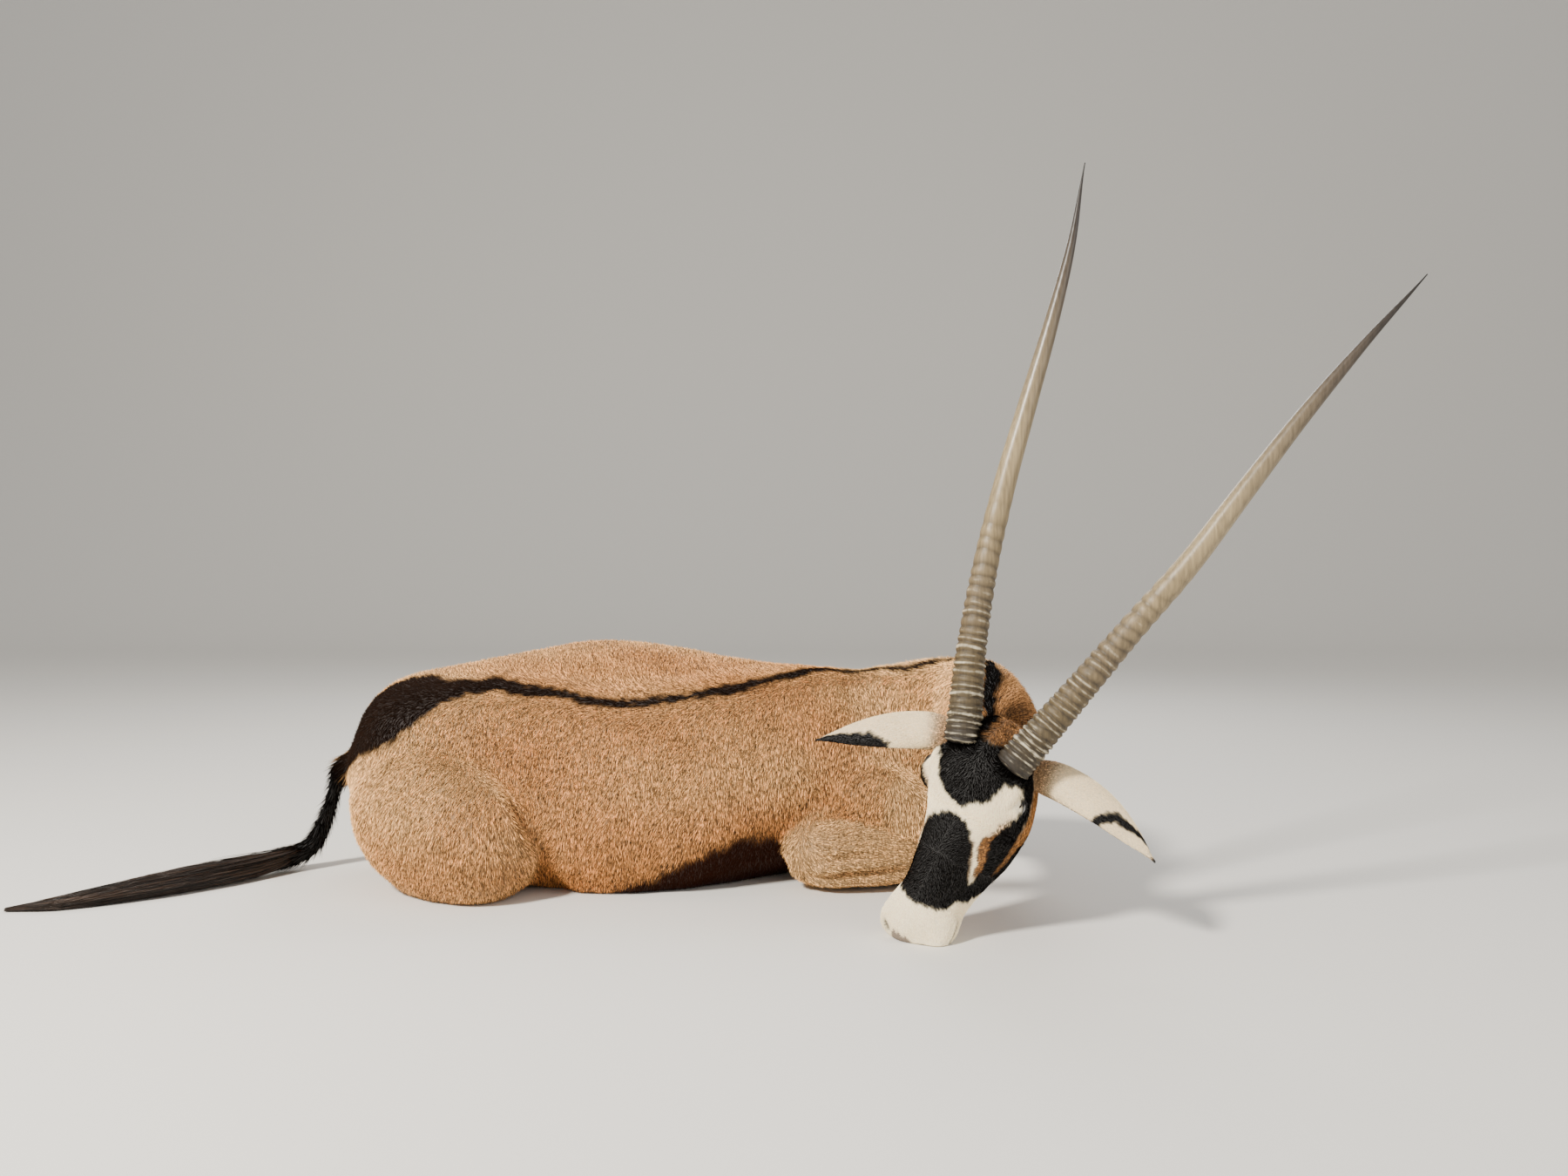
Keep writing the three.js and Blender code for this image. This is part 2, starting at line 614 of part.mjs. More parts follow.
// A flat, tapered lock along a path of points.
function lock(points, width, thick, { facing = up, steps = 3 } = {}) {
  const axis = new THREE.CatmullRomCurve3(points);
  const rings = [];
  for (let i = 0; i <= steps; i++) {
    const t = i / steps;
    const centre = axis.getPoint(t);
    const along = axis.getTangent(t);
    const across = new THREE.Vector3().crossVectors(along, facing).normalize();
    const high = new THREE.Vector3().crossVectors(across, along);
    const taper = 0.12 + 0.88 * Math.sin(Math.PI * (0.25 + 0.75 * t)) ** 0.7 * (1 - t ** 4);
    rings.push([[1, 0], [0, 1], [-1, 0], [0, -1]].map(([a, b]) => centre.clone()
      .addScaledVector(across, 0.5 * width * taper * a).addScaledVector(high, 0.5 * thick * taper * b)));
  }
  return solid(loft(rings));
}

function tailTuft() {
  const axis = new THREE.CatmullRomCurve3(tuftPath.map(vec));
  const draw = draws(7);
  const spot = (t, a, reach) => {
    const along = axis.getTangent(Math.min(t, 1));
    const across = new THREE.Vector3().crossVectors(along, up).normalize();
    const p = axis.getPoint(Math.min(t, 1))
      .addScaledVector(across, smooth(tuftSpread, t) * reach * Math.cos(a));
    p.z = Math.max(p.z + smooth(tuftRise, t) * reach * Math.sin(a), 3);
    return p;
  };
  const coreStations = tuftCore.stations.map((t) => {
    const p = spot(t, 0, 0);
    const r = tuftCore.radius * smooth(tuftRise, t);
    return [p.x, p.y, Math.max(p.z, r), r];
  });
  let body = length(coreStations, { sides: 6, rings: 5 });
  for (let i = 0; i < tuftLocks; i++) {
    const row = i / (tuftLocks - 1);
    const from = 0.02 + 0.55 * row;
    const length = 0.42 + 0.16 * draw();
    const a = i * lockTurn + 0.4 * draw();
    const points = [0, 0.33, 0.66, 1].map((f) => {
      const t = Math.min(from + length * f, 1.0);
      return spot(t, a + 0.25 * f, 0.25 + 0.75 * Math.min(1, 2.2 * f));
    });
    body = body.add(lock(points, lockSize.width + lockSize.more * draw(), lockSize.thick));
  }
  return body.subtract(solid(floorBox));
}

function middleOf(body) {
  const { min, max } = body.boundingBox();
  return min.map((low, i) => (low + max[i]) / 2);
}

// The lids and the brow over one eye.
function eyeMounds(side) {
  const [n, l, d] = eyeCentre(side);
  return [
    headBulge([n + lidShift[0], l + side * lidShift[1], d + lidShift[2]], lidBulge),
    headBulge([n + browShift[0], l + side * browShift[1], d + browShift[2]], browBulge),
  ];
}

// The skull with brow, lids, eye sockets, nostrils and mouth.
function headBody(horns) {
  let head = headCore();
  const socket = eyeRadius + jointGap;
  [-1, 1].forEach((side) => {
    head = eyeMounds(side).reduce((whole, one) => whole.add(one), head);
    head = head.subtract(headBulge(eyeCentre(side), [socket, socket, socket], { detail: 14 }));
    head = head.subtract(lidOpening(side));
    const nose = [nostrilAt[0], side * nostrilAt[1], nostrilAt[2]];
    head = head.subtract(headBulge(nose, nostril, { twist: muzzleTwist, detail: 8 }));
  });
  return horns.reduce((rest, one) => rest.subtract(grown(one)), head.subtract(mouthSlot()));
}

function eyeBody(side) {
  const ball = new THREE.SphereGeometry(eyeRadius, 14, 8).translate(...eyeCentre(side));
  return solid(ball.applyMatrix4(headFrame));
}

// Everything cut to its neighbours, from the parts that keep their shape to those that give way.
function animal() {
  const group = new THREE.Group();
  const ground = solid(floorBox);
  const add = (name, body, finish) => group.add(named(name, body.subtract(ground), finish));

  const horns = { right: hornBody(-1), left: hornBody(1) };
  add('eye_right', eyeBody(-1), eyeball);
  add('eye_left', eyeBody(1), eyeball);
  add('horn_right', horns.right, horn);
  add('horn_left', horns.left, horn);
  add('head', headBody([horns.right, horns.left]), paleCoat);

  const skull = grown(headCore());
  let trunk = trunkAndNeck().subtract(skull);
  Object.entries(ears).forEach(([side, ear]) => {
    const mounds = eyeMounds(side === 'left' ? 1 : -1).map((one) => grown(one));
    const neighbours = [skull, grown(horns[side]), ...mounds];
    const body = neighbours.reduce((rest, one) => rest.subtract(one), earBody(ear));
    trunk = trunk.subtract(grown(earBody(ear)));
    add(`ear_${side}`, body, paleCoat);
  });

  const claws = [];
  Object.entries(feet).forEach(([name, foot]) => {
    claws.push({ name: `hoof_${name}_outer`, body: claw(foot, -1) });
    claws.push({ name: `hoof_${name}_inner`, body: claw(foot, 1) });
  });
  claws.forEach(({ name, body }) => {
    trunk = trunk.subtract(grown(body));
    add(name, body, hoofHorn);
  });
  Object.entries(legs).forEach(([name, lengths]) => {
    const solids = lengths.map((stations) => length(stations, limbDetail));
    trunk = solids.reduce((rest, one) => rest.subtract(grown(one)), trunk);
    const leg = solids.reduce((whole, one) => whole.add(one));
    add(name, claws.reduce((rest, { body }) => rest.subtract(grown(body)), leg), coat);
  });

  const tail = length(tailStalk, tailDetail);
  trunk = trunk.subtract(grown(tail));
  add('tail', tail, blackCoat);
  add('tail_tuft', tailTuft().subtract(grown(tail)), blackCoat);

  // Thin cuts square to the neck part the torso, the root of the neck and its straight upper half.
  let rest = trunk.subtract(ground);
  Object.entries(neckCuts).forEach(([name, { at, way }]) => {
    const slab = new THREE.BoxGeometry(neckCutReach, neckCutReach, jointGap);
    slab.applyMatrix4(new THREE.Matrix4().lookAt(vec(way), new THREE.Vector3(), up)).translate(...at);
    const below = (body) => vec(middleOf(body)).sub(vec(at)).dot(vec(way));
    const pieces = rest.subtract(solid(slab)).decompose().sort((a, b) => b.volume() - a.volume());
    const [near, far] = pieces.slice(0, 2).sort((a, b) => below(a) - below(b));
    add(name, near, coat);
    rest = far;
  });
  add('neck_upper', rest, coat);
  return group;
}

const gemsbok = animal();
const box = new THREE.Box3().setFromObject(gemsbok);
gemsbok.position.set(-(box.min.x + box.max.x) / 2, -(box.min.y + box.max.y) / 2, -box.min.z);

export default gemsbok;
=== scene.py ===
# A gemsbok lying at rest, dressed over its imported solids: one skin under a coat of hair tufts, ringed horns,
# eyes, hooves and a long tail tuft, on a pale floor.
import bpy
import math
import numpy as np
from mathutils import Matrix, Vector
from mathutils.bvhtree import BVHTree


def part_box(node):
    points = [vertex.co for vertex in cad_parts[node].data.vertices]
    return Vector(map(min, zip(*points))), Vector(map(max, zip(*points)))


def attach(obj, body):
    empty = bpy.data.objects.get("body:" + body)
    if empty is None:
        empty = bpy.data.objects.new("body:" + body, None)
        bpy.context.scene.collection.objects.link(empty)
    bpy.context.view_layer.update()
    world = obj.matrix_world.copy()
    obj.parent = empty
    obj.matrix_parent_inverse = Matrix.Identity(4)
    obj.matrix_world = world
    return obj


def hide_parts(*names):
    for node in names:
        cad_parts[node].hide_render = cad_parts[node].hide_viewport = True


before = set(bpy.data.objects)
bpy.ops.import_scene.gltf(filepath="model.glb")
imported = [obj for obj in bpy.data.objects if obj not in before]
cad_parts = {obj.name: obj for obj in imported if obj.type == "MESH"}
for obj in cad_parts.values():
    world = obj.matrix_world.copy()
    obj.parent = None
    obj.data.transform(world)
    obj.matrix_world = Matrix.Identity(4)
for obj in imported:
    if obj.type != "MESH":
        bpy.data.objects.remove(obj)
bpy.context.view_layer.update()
print("frame loaded:", len(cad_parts), "nodes")


# Shared geometry. Tables are in millimetres in the set-up frame of the solids: x from rump to chest, y away
# from the viewer, z up from the floor.
def unit(v):
    v = np.asarray(v, float)
    return v / np.maximum(np.linalg.norm(v, axis=-1, keepdims=True), 1e-9)


def smoothStep(x, low, high):
    x = np.clip((np.asarray(x, float) - low) / (high - low), 0, 1)
    return x * x * (3 - 2 * x)


def evenly(values, t):
    values = np.asarray(values, float)
    last = len(values) - 1
    x = np.clip(t, 0, 1) * last
    i = np.minimum(np.floor(x).astype(int), last - 1)
    f = x - i
    if values.ndim > 1:
        f = f[..., None]
    a, b, c, d = (values[np.clip(i + k, 0, last)] for k in (-1, 0, 1, 2))
    return b + 0.5 * f * (c - a + f * (2 * a - 5 * b + 4 * c - d + f * (3 * (b - c) + d - a)))


def centripetal(p0, p1, p2, p3, f):
    spans = (p0, p1), (p1, p2), (p2, p3)
    d0, d1, d2 = (np.sqrt(np.linalg.norm(b - a, axis=-1, keepdims=True)) for a, b in spans)
    t1 = ((p1 - p0) / d0 - (p2 - p0) / (d0 + d1) + (p2 - p1) / d1) * d1
    t2 = ((p2 - p1) / d1 - (p3 - p1) / (d1 + d2) + (p3 - p2) / d2) * d1
    return p1 + f * (t1 + f * (3 * (p2 - p1) - 2 * t1 - t2 + f * (2 * (p1 - p2) + t1 + t2)))


def along(table, x):
    table = np.array(table, float)
    return np.interp(x, table[:, 0], table[:, 1])


def curveAt(points, t):
    points = np.asarray(points, float)
    ends = np.vstack([2 * points[0] - points[1], points, 2 * points[-1] - points[-2]])
    x = np.clip(t, 0, 1) * (len(points) - 1)
    i = np.minimum(np.floor(x).astype(int), len(points) - 2)
    return centripetal(ends[i], ends[i + 1], ends[i + 2], ends[i + 3], (x - i)[..., None])


def tangentAt(points, t, reach=1e-3):
    return unit(curveAt(points, np.clip(t + reach, 0, 1)) - curveAt(points, np.clip(t - reach, 0, 1)))


# Head axes: the nose's way, the left side and out of the brow, from the midpoint between the horn bases
headAt = np.array([618.0, -477.0, 311.0])
toNose = unit([-0.484, -0.096, -0.87])
outOfBrow = np.array([-0.399, -0.866, 0.3])
outOfBrow = unit(outOfBrow - toNose * (outOfBrow @ toNose))
toLeft = np.cross(outOfBrow, toNose)
headAxes = np.array([toNose, toLeft, outOfBrow])
eyeAt = np.array([56.0, 72.0, -46.0])
eyeRadius = 19.0
sky = np.array([0.0, 0.0, 1.0])


def onHead(places):
    return headAt + np.asarray(places, float) @ headAxes


def intoHead(points):
    return (points - headAt) @ headAxes.T


setOff = np.mean([list(corner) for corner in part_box("eye_left")], axis=0) - onHead(eyeAt) / 1000


def toModel(points):
    return points / 1000 + setOff


def fromModel(points):
    return (points - setOff) * 1000


def loft(rings):
    count, sides = rings.shape[:2]
    points = np.vstack([rings.reshape(-1, 3), rings[0].mean(0), rings[-1].mean(0)])
    i, k = np.meshgrid(np.arange(count - 1), np.arange(sides), indexing="ij")
    a = (i * sides + k).ravel()
    b = (i * sides + (k + 1) % sides).ravel()
    faces = np.column_stack([a, b, b + sides, a + sides]).tolist()
    first, last = count * sides, count * sides + 1
    end = (count - 1) * sides
    faces += [[first, (k + 1) % sides, k] for k in range(sides)]
    faces += [[last, end + k, end + (k + 1) % sides] for k in range(sides)]
    return points, faces


def newObject(name, points, faces, material=None):
    mesh = bpy.data.meshes.new(name)
    mesh.from_pydata(points.tolist(), [], faces)
    mesh.update()
    piece = bpy.data.objects.new(name, mesh)
    bpy.context.scene.collection.objects.link(piece)
    if material:
        mesh.materials.append(material)
    return piece


def turnOutwards(piece):
    mesh = piece.data
    mesh.calc_loop_triangles()
    points = pointsOf(mesh)
    tris = np.array([t.vertices[:] for t in mesh.loop_triangles])
    a, b, c = points[tris[:, 0]], points[tris[:, 1]], points[tris[:, 2]]
    if np.einsum("ij,ij->i", a, np.cross(b, c)).sum() < 0:
        mesh.flip_normals()


def pointsOf(mesh):
    points = np.empty(len(mesh.vertices) * 3)
    mesh.vertices.foreach_get("co", points)
    return points.reshape(-1, 3)


def setPoints(mesh, points):
    mesh.vertices.foreach_set("co", points.ravel())
    mesh.update()


def normalsOf(mesh):
    normals = np.empty(len(mesh.vertices) * 3)
    mesh.vertex_normals.foreach_get("vector", normals)
    return normals.reshape(-1, 3)


def applied(piece):
    graph = bpy.context.evaluated_depsgraph_get()
    graph.update()
    mesh = bpy.data.meshes.new_from_object(piece.evaluated_get(graph))
    piece.modifiers.clear()
    old = piece.data
    piece.data = mesh
    bpy.data.meshes.remove(old)
    return piece


def store(mesh, name, kind, values):
    layer = mesh.attributes.new(name, kind, "POINT")
    field = {"FLOAT": "value", "INT": "value", "FLOAT_VECTOR": "vector", "FLOAT_COLOR": "color"}[kind]
    layer.data.foreach_set(field, np.ascontiguousarray(values).ravel())


def smoothShade(mesh):
    mesh.polygons.foreach_set("use_smooth", np.ones(len(mesh.polygons), bool))


# Trunk and neck: one tube from the rump to the skull. Each row is the axis point, the roll of the back
# towards the animal's right in degrees, and the reach to the left, right, back and belly.
trunkRows = np.array([
    [-560, -28, 190, 45, 168, 168, 150, 150],
    [-470, -12, 198, 44, 200, 196, 172, 178],
    [-350, 0, 205, 44, 228, 214, 182, 210],
    [-210, 5, 215, 45, 258, 250, 168, 258],
    [-60, 10, 222, 46, 281, 296, 165, 300],
    [90, 20, 220, 42, 262, 284, 178, 292],
    [220, 40, 215, 36, 225, 242, 194, 268],
    [345, 60, 218, 31, 182, 200, 199, 252],
    [460, 72, 232, 28, 150, 164, 182, 226],
    [570, 62, 270, 18, 118, 126, 152, 200],
    [650, 8, 302, 0, 94, 92, 129, 160],
    [678, -82, 312, -14, 78, 80, 115, 136],
    [684, -180, 304, -20, 72, 76, 102, 126],
    [680, -280, 286, -20, 76, 72, 92, 124],
    [662, -372, 262, -18, 70, 60, 68, 118],
], float)
trunkForm = {
    "rumpShare": 0.105, "rumpRings": 0.16, "squareness": 0.92, "ridge": 0.24, "rings": 190, "sides": 130,
}


def trunkFrame(t):
    centre = curveAt(trunkRows[:, :3], t)
    way = tangentAt(trunkRows[:, :3], t)
    roll = np.radians(evenly(trunkRows[:, 3], t))[..., None]
    level = unit(np.cross(way, sky))
    upright = np.cross(level, way)
    back = upright * np.cos(roll) + level * np.sin(roll)
    left = upright * np.sin(roll) - level * np.cos(roll)
    return centre, way, back, left


def trunkRings():
    u = np.linspace(0, 1, trunkForm["rings"])
    share, rump, square = (trunkForm[key] for key in ("rumpRings", "rumpShare", "squareness"))
    onRump = rump * (1 - np.cos(np.minimum(u / share, 1) * 0.5 * np.pi)) + 0.0008
    t = np.minimum(np.where(u < share, onRump, rump + (u - share) / (1 - share) * (1 - rump)), 1)
    centre, _, back, left = trunkFrame(t)
    a = 2 * np.pi * np.arange(trunkForm["sides"]) / trunkForm["sides"]
    c, s = np.cos(a)[None], np.sin(a)[None]
    reach = evenly(trunkRows[:, 4:], t)
    cap = np.sqrt(1 - (1 - np.minimum(t / rump, 1)) ** 2.4)[:, None]
    narrow = 1 - trunkForm["ridge"] * np.maximum(c, 0) ** 3
    side = np.sign(s) * np.abs(s) ** square * np.where(s > 0, reach[:, :1], reach[:, 1:2]) * narrow * cap
    high = np.sign(c) * np.abs(c) ** square * np.where(c > 0, reach[:, 2:3], reach[:, 3:]) * cap
    return centre[:, None] + left[:, None] * side[..., None] + back[:, None] * high[..., None]


# Legs, each folded in three lengths, the muscle of the breast and the stalk of the tail: points of the path
# and the radius there
legPaths = {
    "hindleg_right": [
        [[-466, 0, 200, 100], [-392, -90, 150, 142], [-294, -168, 106, 140], [-210, -210, 84, 114],
         [-150, -224, 64, 58]],
        [[-178, -180, 66, 66], [-262, -52, 50, 50], [-350, 80, 44, 38], [-440, 212, 42, 30]],
        [[-445, 200, 38, 28], [-380, 265, 34, 26], [-270, 330, 26, 21], [-160, 380, 27, 24]],
    ],
    "hindleg_left": [
        [[-420, 60, 270, 100], [-350, 170, 256, 128], [-250, 245, 222, 108], [-130, 310, 176, 70]],
        [[-125, 300, 165, 62], [-160, 350, 120, 56], [-240, 385, 80, 42], [-380, 440, 46, 28]],
        [[-385, 440, 44, 28], [-330, 466, 32, 25], [-250, 484, 26, 21], [-130, 503, 27, 24]],
    ],
    "foreleg_right": [
        [[450, 20, 156, 50], [390, -60, 116, 68], [330, -118, 80, 62]],
        [[300, -128, 66, 56], [395, -148, 64, 66], [510, -142, 56, 54], [600, -116, 44, 40],
         [655, -92, 36, 24]],
        [[656, -72, 32, 26], [570, -20, 26, 23], [480, 10, 24, 20], [395, 37, 26, 23]],
    ],
    "foreleg_left": [
        [[450, 140, 175, 50], [400, 215, 126, 64], [345, 264, 82, 58]],
        [[332, 270, 74, 50], [430, 272, 64, 54], [530, 262, 48, 42], [612, 248, 41, 35],
         [655, 238, 36, 24]],
        [[656, 226, 32, 26], [570, 196, 26, 22], [490, 178, 24, 20], [410, 160, 26, 23]],
    ],
}
breastRows = [[415, -30, 168, 92], [480, -72, 138, 92], [560, -84, 108, 76], [622, -84, 84, 44]]
tailStalk = [
    [-548, -30, 236, 26], [-580, -20, 200, 22], [-602, -5, 140, 20], [-622, 4, 86, 21],
    [-646, 2, 46, 24], [-678, -20, 30, 27], [-712, -56, 27, 24],
]

limbForm = {"endShare": 0.03, "roundShare": 0.1, "courseReach": 0.16}


def roundedEnd(t):
    return np.sqrt(1 - (1 - np.minimum(t / limbForm["roundShare"], 1)) ** 2)


def around(centre, side, high, angles, wide, tall):
    aside = (wide * np.sin(angles))[..., None]
    return centre[:, None] + side[:, None] * aside + high[:, None] * (tall * np.cos(angles))[..., None]


def lengthRings(rows, rings=34, sides=32):
    rows = np.array(rows, float)
    end, reach = limbForm["endShare"], limbForm["courseReach"]
    t = 0.5 - 0.5 * np.cos(np.pi * (end + (1 - 2 * end) * np.linspace(0, 1, rings + 1)))
    ahead, behind = (curveAt(rows[:, :3], np.clip(t + step, 0, 1)) for step in (reach, -reach))
    side = unit(np.cross(ahead - behind, sky))
    high = unit(np.cross(side, ahead - behind))
    r = (evenly(rows[:, 3], t) * roundedEnd(t) * roundedEnd(1 - t))[:, None]
    return around(curveAt(rows[:, :3], t), side, high, 2 * np.pi * np.arange(sides) / sides, r, r)


# Head: rows are the place along it, the midline heights of top and chin, the half width and drop of the edge
# of the brow or bridge, the half widths and heights of cheek and jaw, and the sag to the left.
headRows = np.array([
    [-62, -38, -112, 18, 7, 27, -76, 17, -100, 0],
    [-44, -17, -136, 33, 9, 49, -70, 34, -118, 0],
    [-18, -4, -160, 46, 10, 63, -62, 50, -132, 6],
    [16, 1, -180, 53, 9, 73, -58, 58, -144, 12],
    [48, 4, -188, 56, 9, 78, -56, 62, -148, 18],
    [78, 2, -188, 55, 9, 79, -56, 62, -148, 24],
    [108, -2, -180, 45, 9, 69, -62, 58, -142, 28],
    [150, -8, -164, 34, 8, 57, -66, 52, -130, 28],
    [200, -15, -142, 30, 8, 48, -64, 43, -116, 20],
    [245, -22, -127, 29, 9, 48, -64, 40, -106, 16],
    [282, -29, -122, 33, 10, 58, -64, 46, -103, 16],
    [310, -38, -117, 36, 12, 60, -66, 44, -101, 13],
    [330, -51, -106, 29, 11, 49, -72, 33, -96, 8],
    [338, -60, -98, 19, 7, 30, -77, 20, -91, 5],
], float)
headForm = {
    "rings": 150, "sides": 168, "from": -62, "to": 338, "twist": 9, "twistFrom": 60, "twistTo": 240,
    "mouth": [(252, -80), (268, -81), (290, -80), (318, -82), (345, -84)],
}


def spacedBy(weight, count, low=0.0, high=1.0):
    fine = np.linspace(low, high, 4000)
    total = np.concatenate([[0], np.cumsum(weight(fine[1:]))])
    return np.interp(np.linspace(0, total[-1], count), total, fine)


def hump(x, at, wide):
    return np.exp(-((x - at) / wide) ** 2)


def twisted(places, way):
    n, l, d = places[..., 0], places[..., 1], places[..., 2]
    turn = way * math.radians(headForm["twist"]) * smoothStep(n, headForm["twistFrom"], headForm["twistTo"])
    return np.stack([n, l * np.cos(turn) - d * np.sin(turn), l * np.sin(turn) + d * np.cos(turn)], -1)


def headSkin():
    fine = np.linspace(0, 1, 2000)
    alongHead = evenly(headRows[:, 0], fine)
    n = spacedBy(lambda x: 1 + 1.5 * hump(x, 56, 30) + 0.9 * hump(x, 315, 40), headForm["rings"],
                 headForm["from"], headForm["to"])
    t = np.interp(n, alongHead, fine)
    top, chin, rim, drop, cheek, cheekAt, jaw, jawAt, sag = (evenly(headRows[:, k], t) for k in range(1, 10))
    zero = np.zeros_like(t)
    half = [(zero, top), (rim, top - drop), (cheek, cheekAt), (jaw, jawAt), (zero, chin)]
    points = []
    for l, d in half + [(-l, d) for l, d in half[3:0:-1]]:
        depth = np.clip((top - d) / 80, 0, 1)
        low = np.clip((top - d) / 60 - 1.33, 0, 0.9)
        leftward = np.maximum(np.clip(0.6 + l / 60, 0.2, 1), low)
        points.append(np.column_stack([l + sag * depth * leftward, d]))
    points = np.stack(points, 1)
    u = spacedBy(lambda x: 1 + 1.5 * hump(x, 0.19, 0.05) + 1.5 * hump(x, 0.81, 0.05), headForm["sides"] + 1)
    u = u[:-1]
    x = u * len(points[0])
    i = np.floor(x).astype(int) % 8
    p0, p1, p2, p3 = (points[:, (i + k) % 8] for k in (-1, 0, 1, 2))
    outline = centripetal(p0, p1, p2, p3, (x - np.floor(x))[None, :, None])
    places = np.concatenate([np.repeat(n[:, None, None], len(u), 1), outline], 2)
    return loft(onHead(twisted(carveFace(places), 1)))


# Horns: shape and place of the two, in millimetres and degrees from the head's own axes
hornForm = {
    "length": 970, "root": 22, "seat": -12, "steps": 620, "sides": 56, "ringed": 0.43, "count": 27,
    "lift": 2.2, "fineLift": 0.8, "lowest": 0.55, "highest": 1.2, "wander": 0.12, "grain": 0.25,
    "rounding": 9,
    "taper": [30, 26.8, 24.4, 22.6, 21.2, 20, 19, 17.8, 16.6, 15.2, 13.6, 11.8, 9.6, 6.8, 3.8, 0.9],
    "right": {"side": -1, "spacing": 46, "spread": 14.2, "rise": 9.1, "seed": 21,
              "bow": [0, -15, -21, -17, -6, 6, 13, 8]},
    "left": {"side": 1, "spacing": 54, "spread": 12.8, "rise": 2.5, "seed": 22,
             "bow": [0, 3, 5, 9, 3, -2, -1, 5]},
}
hornRoots = [hornForm[name]["side"] * hornForm[name]["spacing"] for name in ("right", "left")]


# Face: lids and socket of each eye, the mounds over and behind it, nostrils, lips and the ridge of the jaw
face = {
    "lidRise": 8.5, "lidDrop": 5.5, "lidReach": 16, "lidTilt": 0.5, "rim": 1.3, "socket": 8.5,
    "creaseAbove": 7, "crease": 1.4,
    "mounds": [([7, -5, 0], [34, 27, 25]), ([-14, -12, 24], [36, 20, 14])],
    "nostril": [324, 36, -62], "slit": [13, 11, 5.5], "slitDepth": 9, "wing": [20, 18, 12], "wingRise": 3,
    "mouthFrom": 250, "mouthDepth": 3.2, "lipRise": 1.6, "lipHalf": 7, "cornerDepth": 2.2,
    "jawRidge": 2.2, "jawHollow": 2.0,
}


def swell(places, centre, radii, soft=0.14):
    q = (places - centre) / radii
    r = np.linalg.norm(q, axis=-1, keepdims=True)
    out = np.maximum(r, 1) + soft * np.exp(-np.abs(r - 1) / soft) * 0.35
    return centre + (places - centre) * np.where(r < 1.5, out / np.maximum(r, 1e-3), 1)


def carveEye(places, side):
    eye = eyeAt * [1, side, 1]
    for off, radii in face["mounds"]:
        places = swell(places, eye + np.array(off) * [1, side, 1], radii)
    x = (places[..., 0] - eye[0]) / face["lidReach"]
    y = places[..., 2] - eye[2] + face["lidTilt"] * x
    outer = side * (places[..., 1] - eye[1]) > -4
    upper, lower = face["lidRise"] * (1 - x * x), -face["lidDrop"] * (1 - x * x)
    openness = np.minimum(upper - y, y - lower)
    inside = smoothStep(openness, -0.3, 1.6) * (np.abs(x) < 1) * outer
    rim = hump(openness, -1.6, 1.4) * (np.abs(x) < 1.1) * outer
    crease = hump(y - upper, face["creaseAbove"], 2.2) * (np.abs(x) < 1.3) * (1 - x * x / 1.7) * outer
    way = unit(places - eye)
    places = places + way * (face["rim"] * rim - face["socket"] * inside)[..., None]
    return places - way * (face["crease"] * crease)[..., None]


def carveNostril(places, side):
    off = places - np.array(face["nostril"]) * [1, side, 1]
    slit, wing = (np.exp(-k * ((off / face[key]) ** 2).sum(-1)) for key, k in (("slit", 1.2), ("wing", 1)))
    inward = unit(np.array([-0.5, -side * 0.8, -0.25]))
    return places + inward * (face["slitDepth"] * slit - face["wingRise"] * wing)[..., None]


def carveFace(places):
    for side in (1, -1):
        places = carveNostril(carveEye(places, side), side)
    n, l, d = places[..., 0], places[..., 1], places[..., 2]
    offMouth = d - along(headForm["mouth"], n)
    begin, half = face["mouthFrom"], face["lipHalf"]
    aside = np.sign(l) * np.minimum(np.abs(l) / 20, 1)
    outward = unit(np.stack([smoothStep(n, 305, 340), aside, 0 * n], -1))
    lips = face["lipRise"] * (hump(offMouth, half, 4.5) + 0.8 * hump(offMouth, -half, 4.5))
    front = smoothStep(n, begin, begin + 12) * (lips - face["mouthDepth"] * hump(offMouth, 0, 2))
    corner = face["cornerDepth"] * hump(n, begin, 5) * hump(offMouth, 0, 12)
    places = places + outward * (front - corner)[..., None]
    ridge = hump(d, 0.02 * n - 52, 9) * smoothStep(n, 90, 120) * (1 - smoothStep(n, 190, 235))
    hollow = hump(d, -36, 9) * smoothStep(n, 120, 150) * (1 - smoothStep(n, 220, 260))
    jaw = (face["jawRidge"] * ridge - face["jawHollow"] * hollow) * (np.abs(l) > 10)
    return places + outward * jaw[..., None]


# Ears: a leaf with a rolled root and a cupped inside. The black wedge is given by its edges across the ear,
# in half widths, for each share of its length.
earPaths = {
    "right": {
        "path": [[594, -418, 324], [540, -404, 330], [470, -398, 328], [404, -394, 320], [353, -390, 312]],
        "opens": [-0.05, 0.6, -0.8],
        "wedgeTop": [(0, 2), (1, 2)],
        "wedgeFoot": [(0.44, 1.4), (0.49, 1), (0.53, 0.72), (0.6, 0.42), (0.75, 0.2), (0.85, -0.05),
                      (0.93, -0.6), (1, -1.5)],
    },
    "left": {
        "path": [[690, -430, 268], [742, -452, 254], [800, -485, 219], [844, -511, 177], [875, -528, 142]],
        "opens": [-0.1, 0.55, -0.8],
        "wedgeTop": [(0.5, -1.3), (0.54, -0.6), (0.6, 0.05), (0.7, 0.32), (0.8, 0.8), (0.88, 1.2), (1, 1.4)],
        "wedgeFoot": [(0.5, -1.2), (0.57, -1.1), (0.62, -0.6), (0.7, -0.3), (0.81, 0.25), (0.88, 0.6),
                      (1, 0.8)],
    },
}
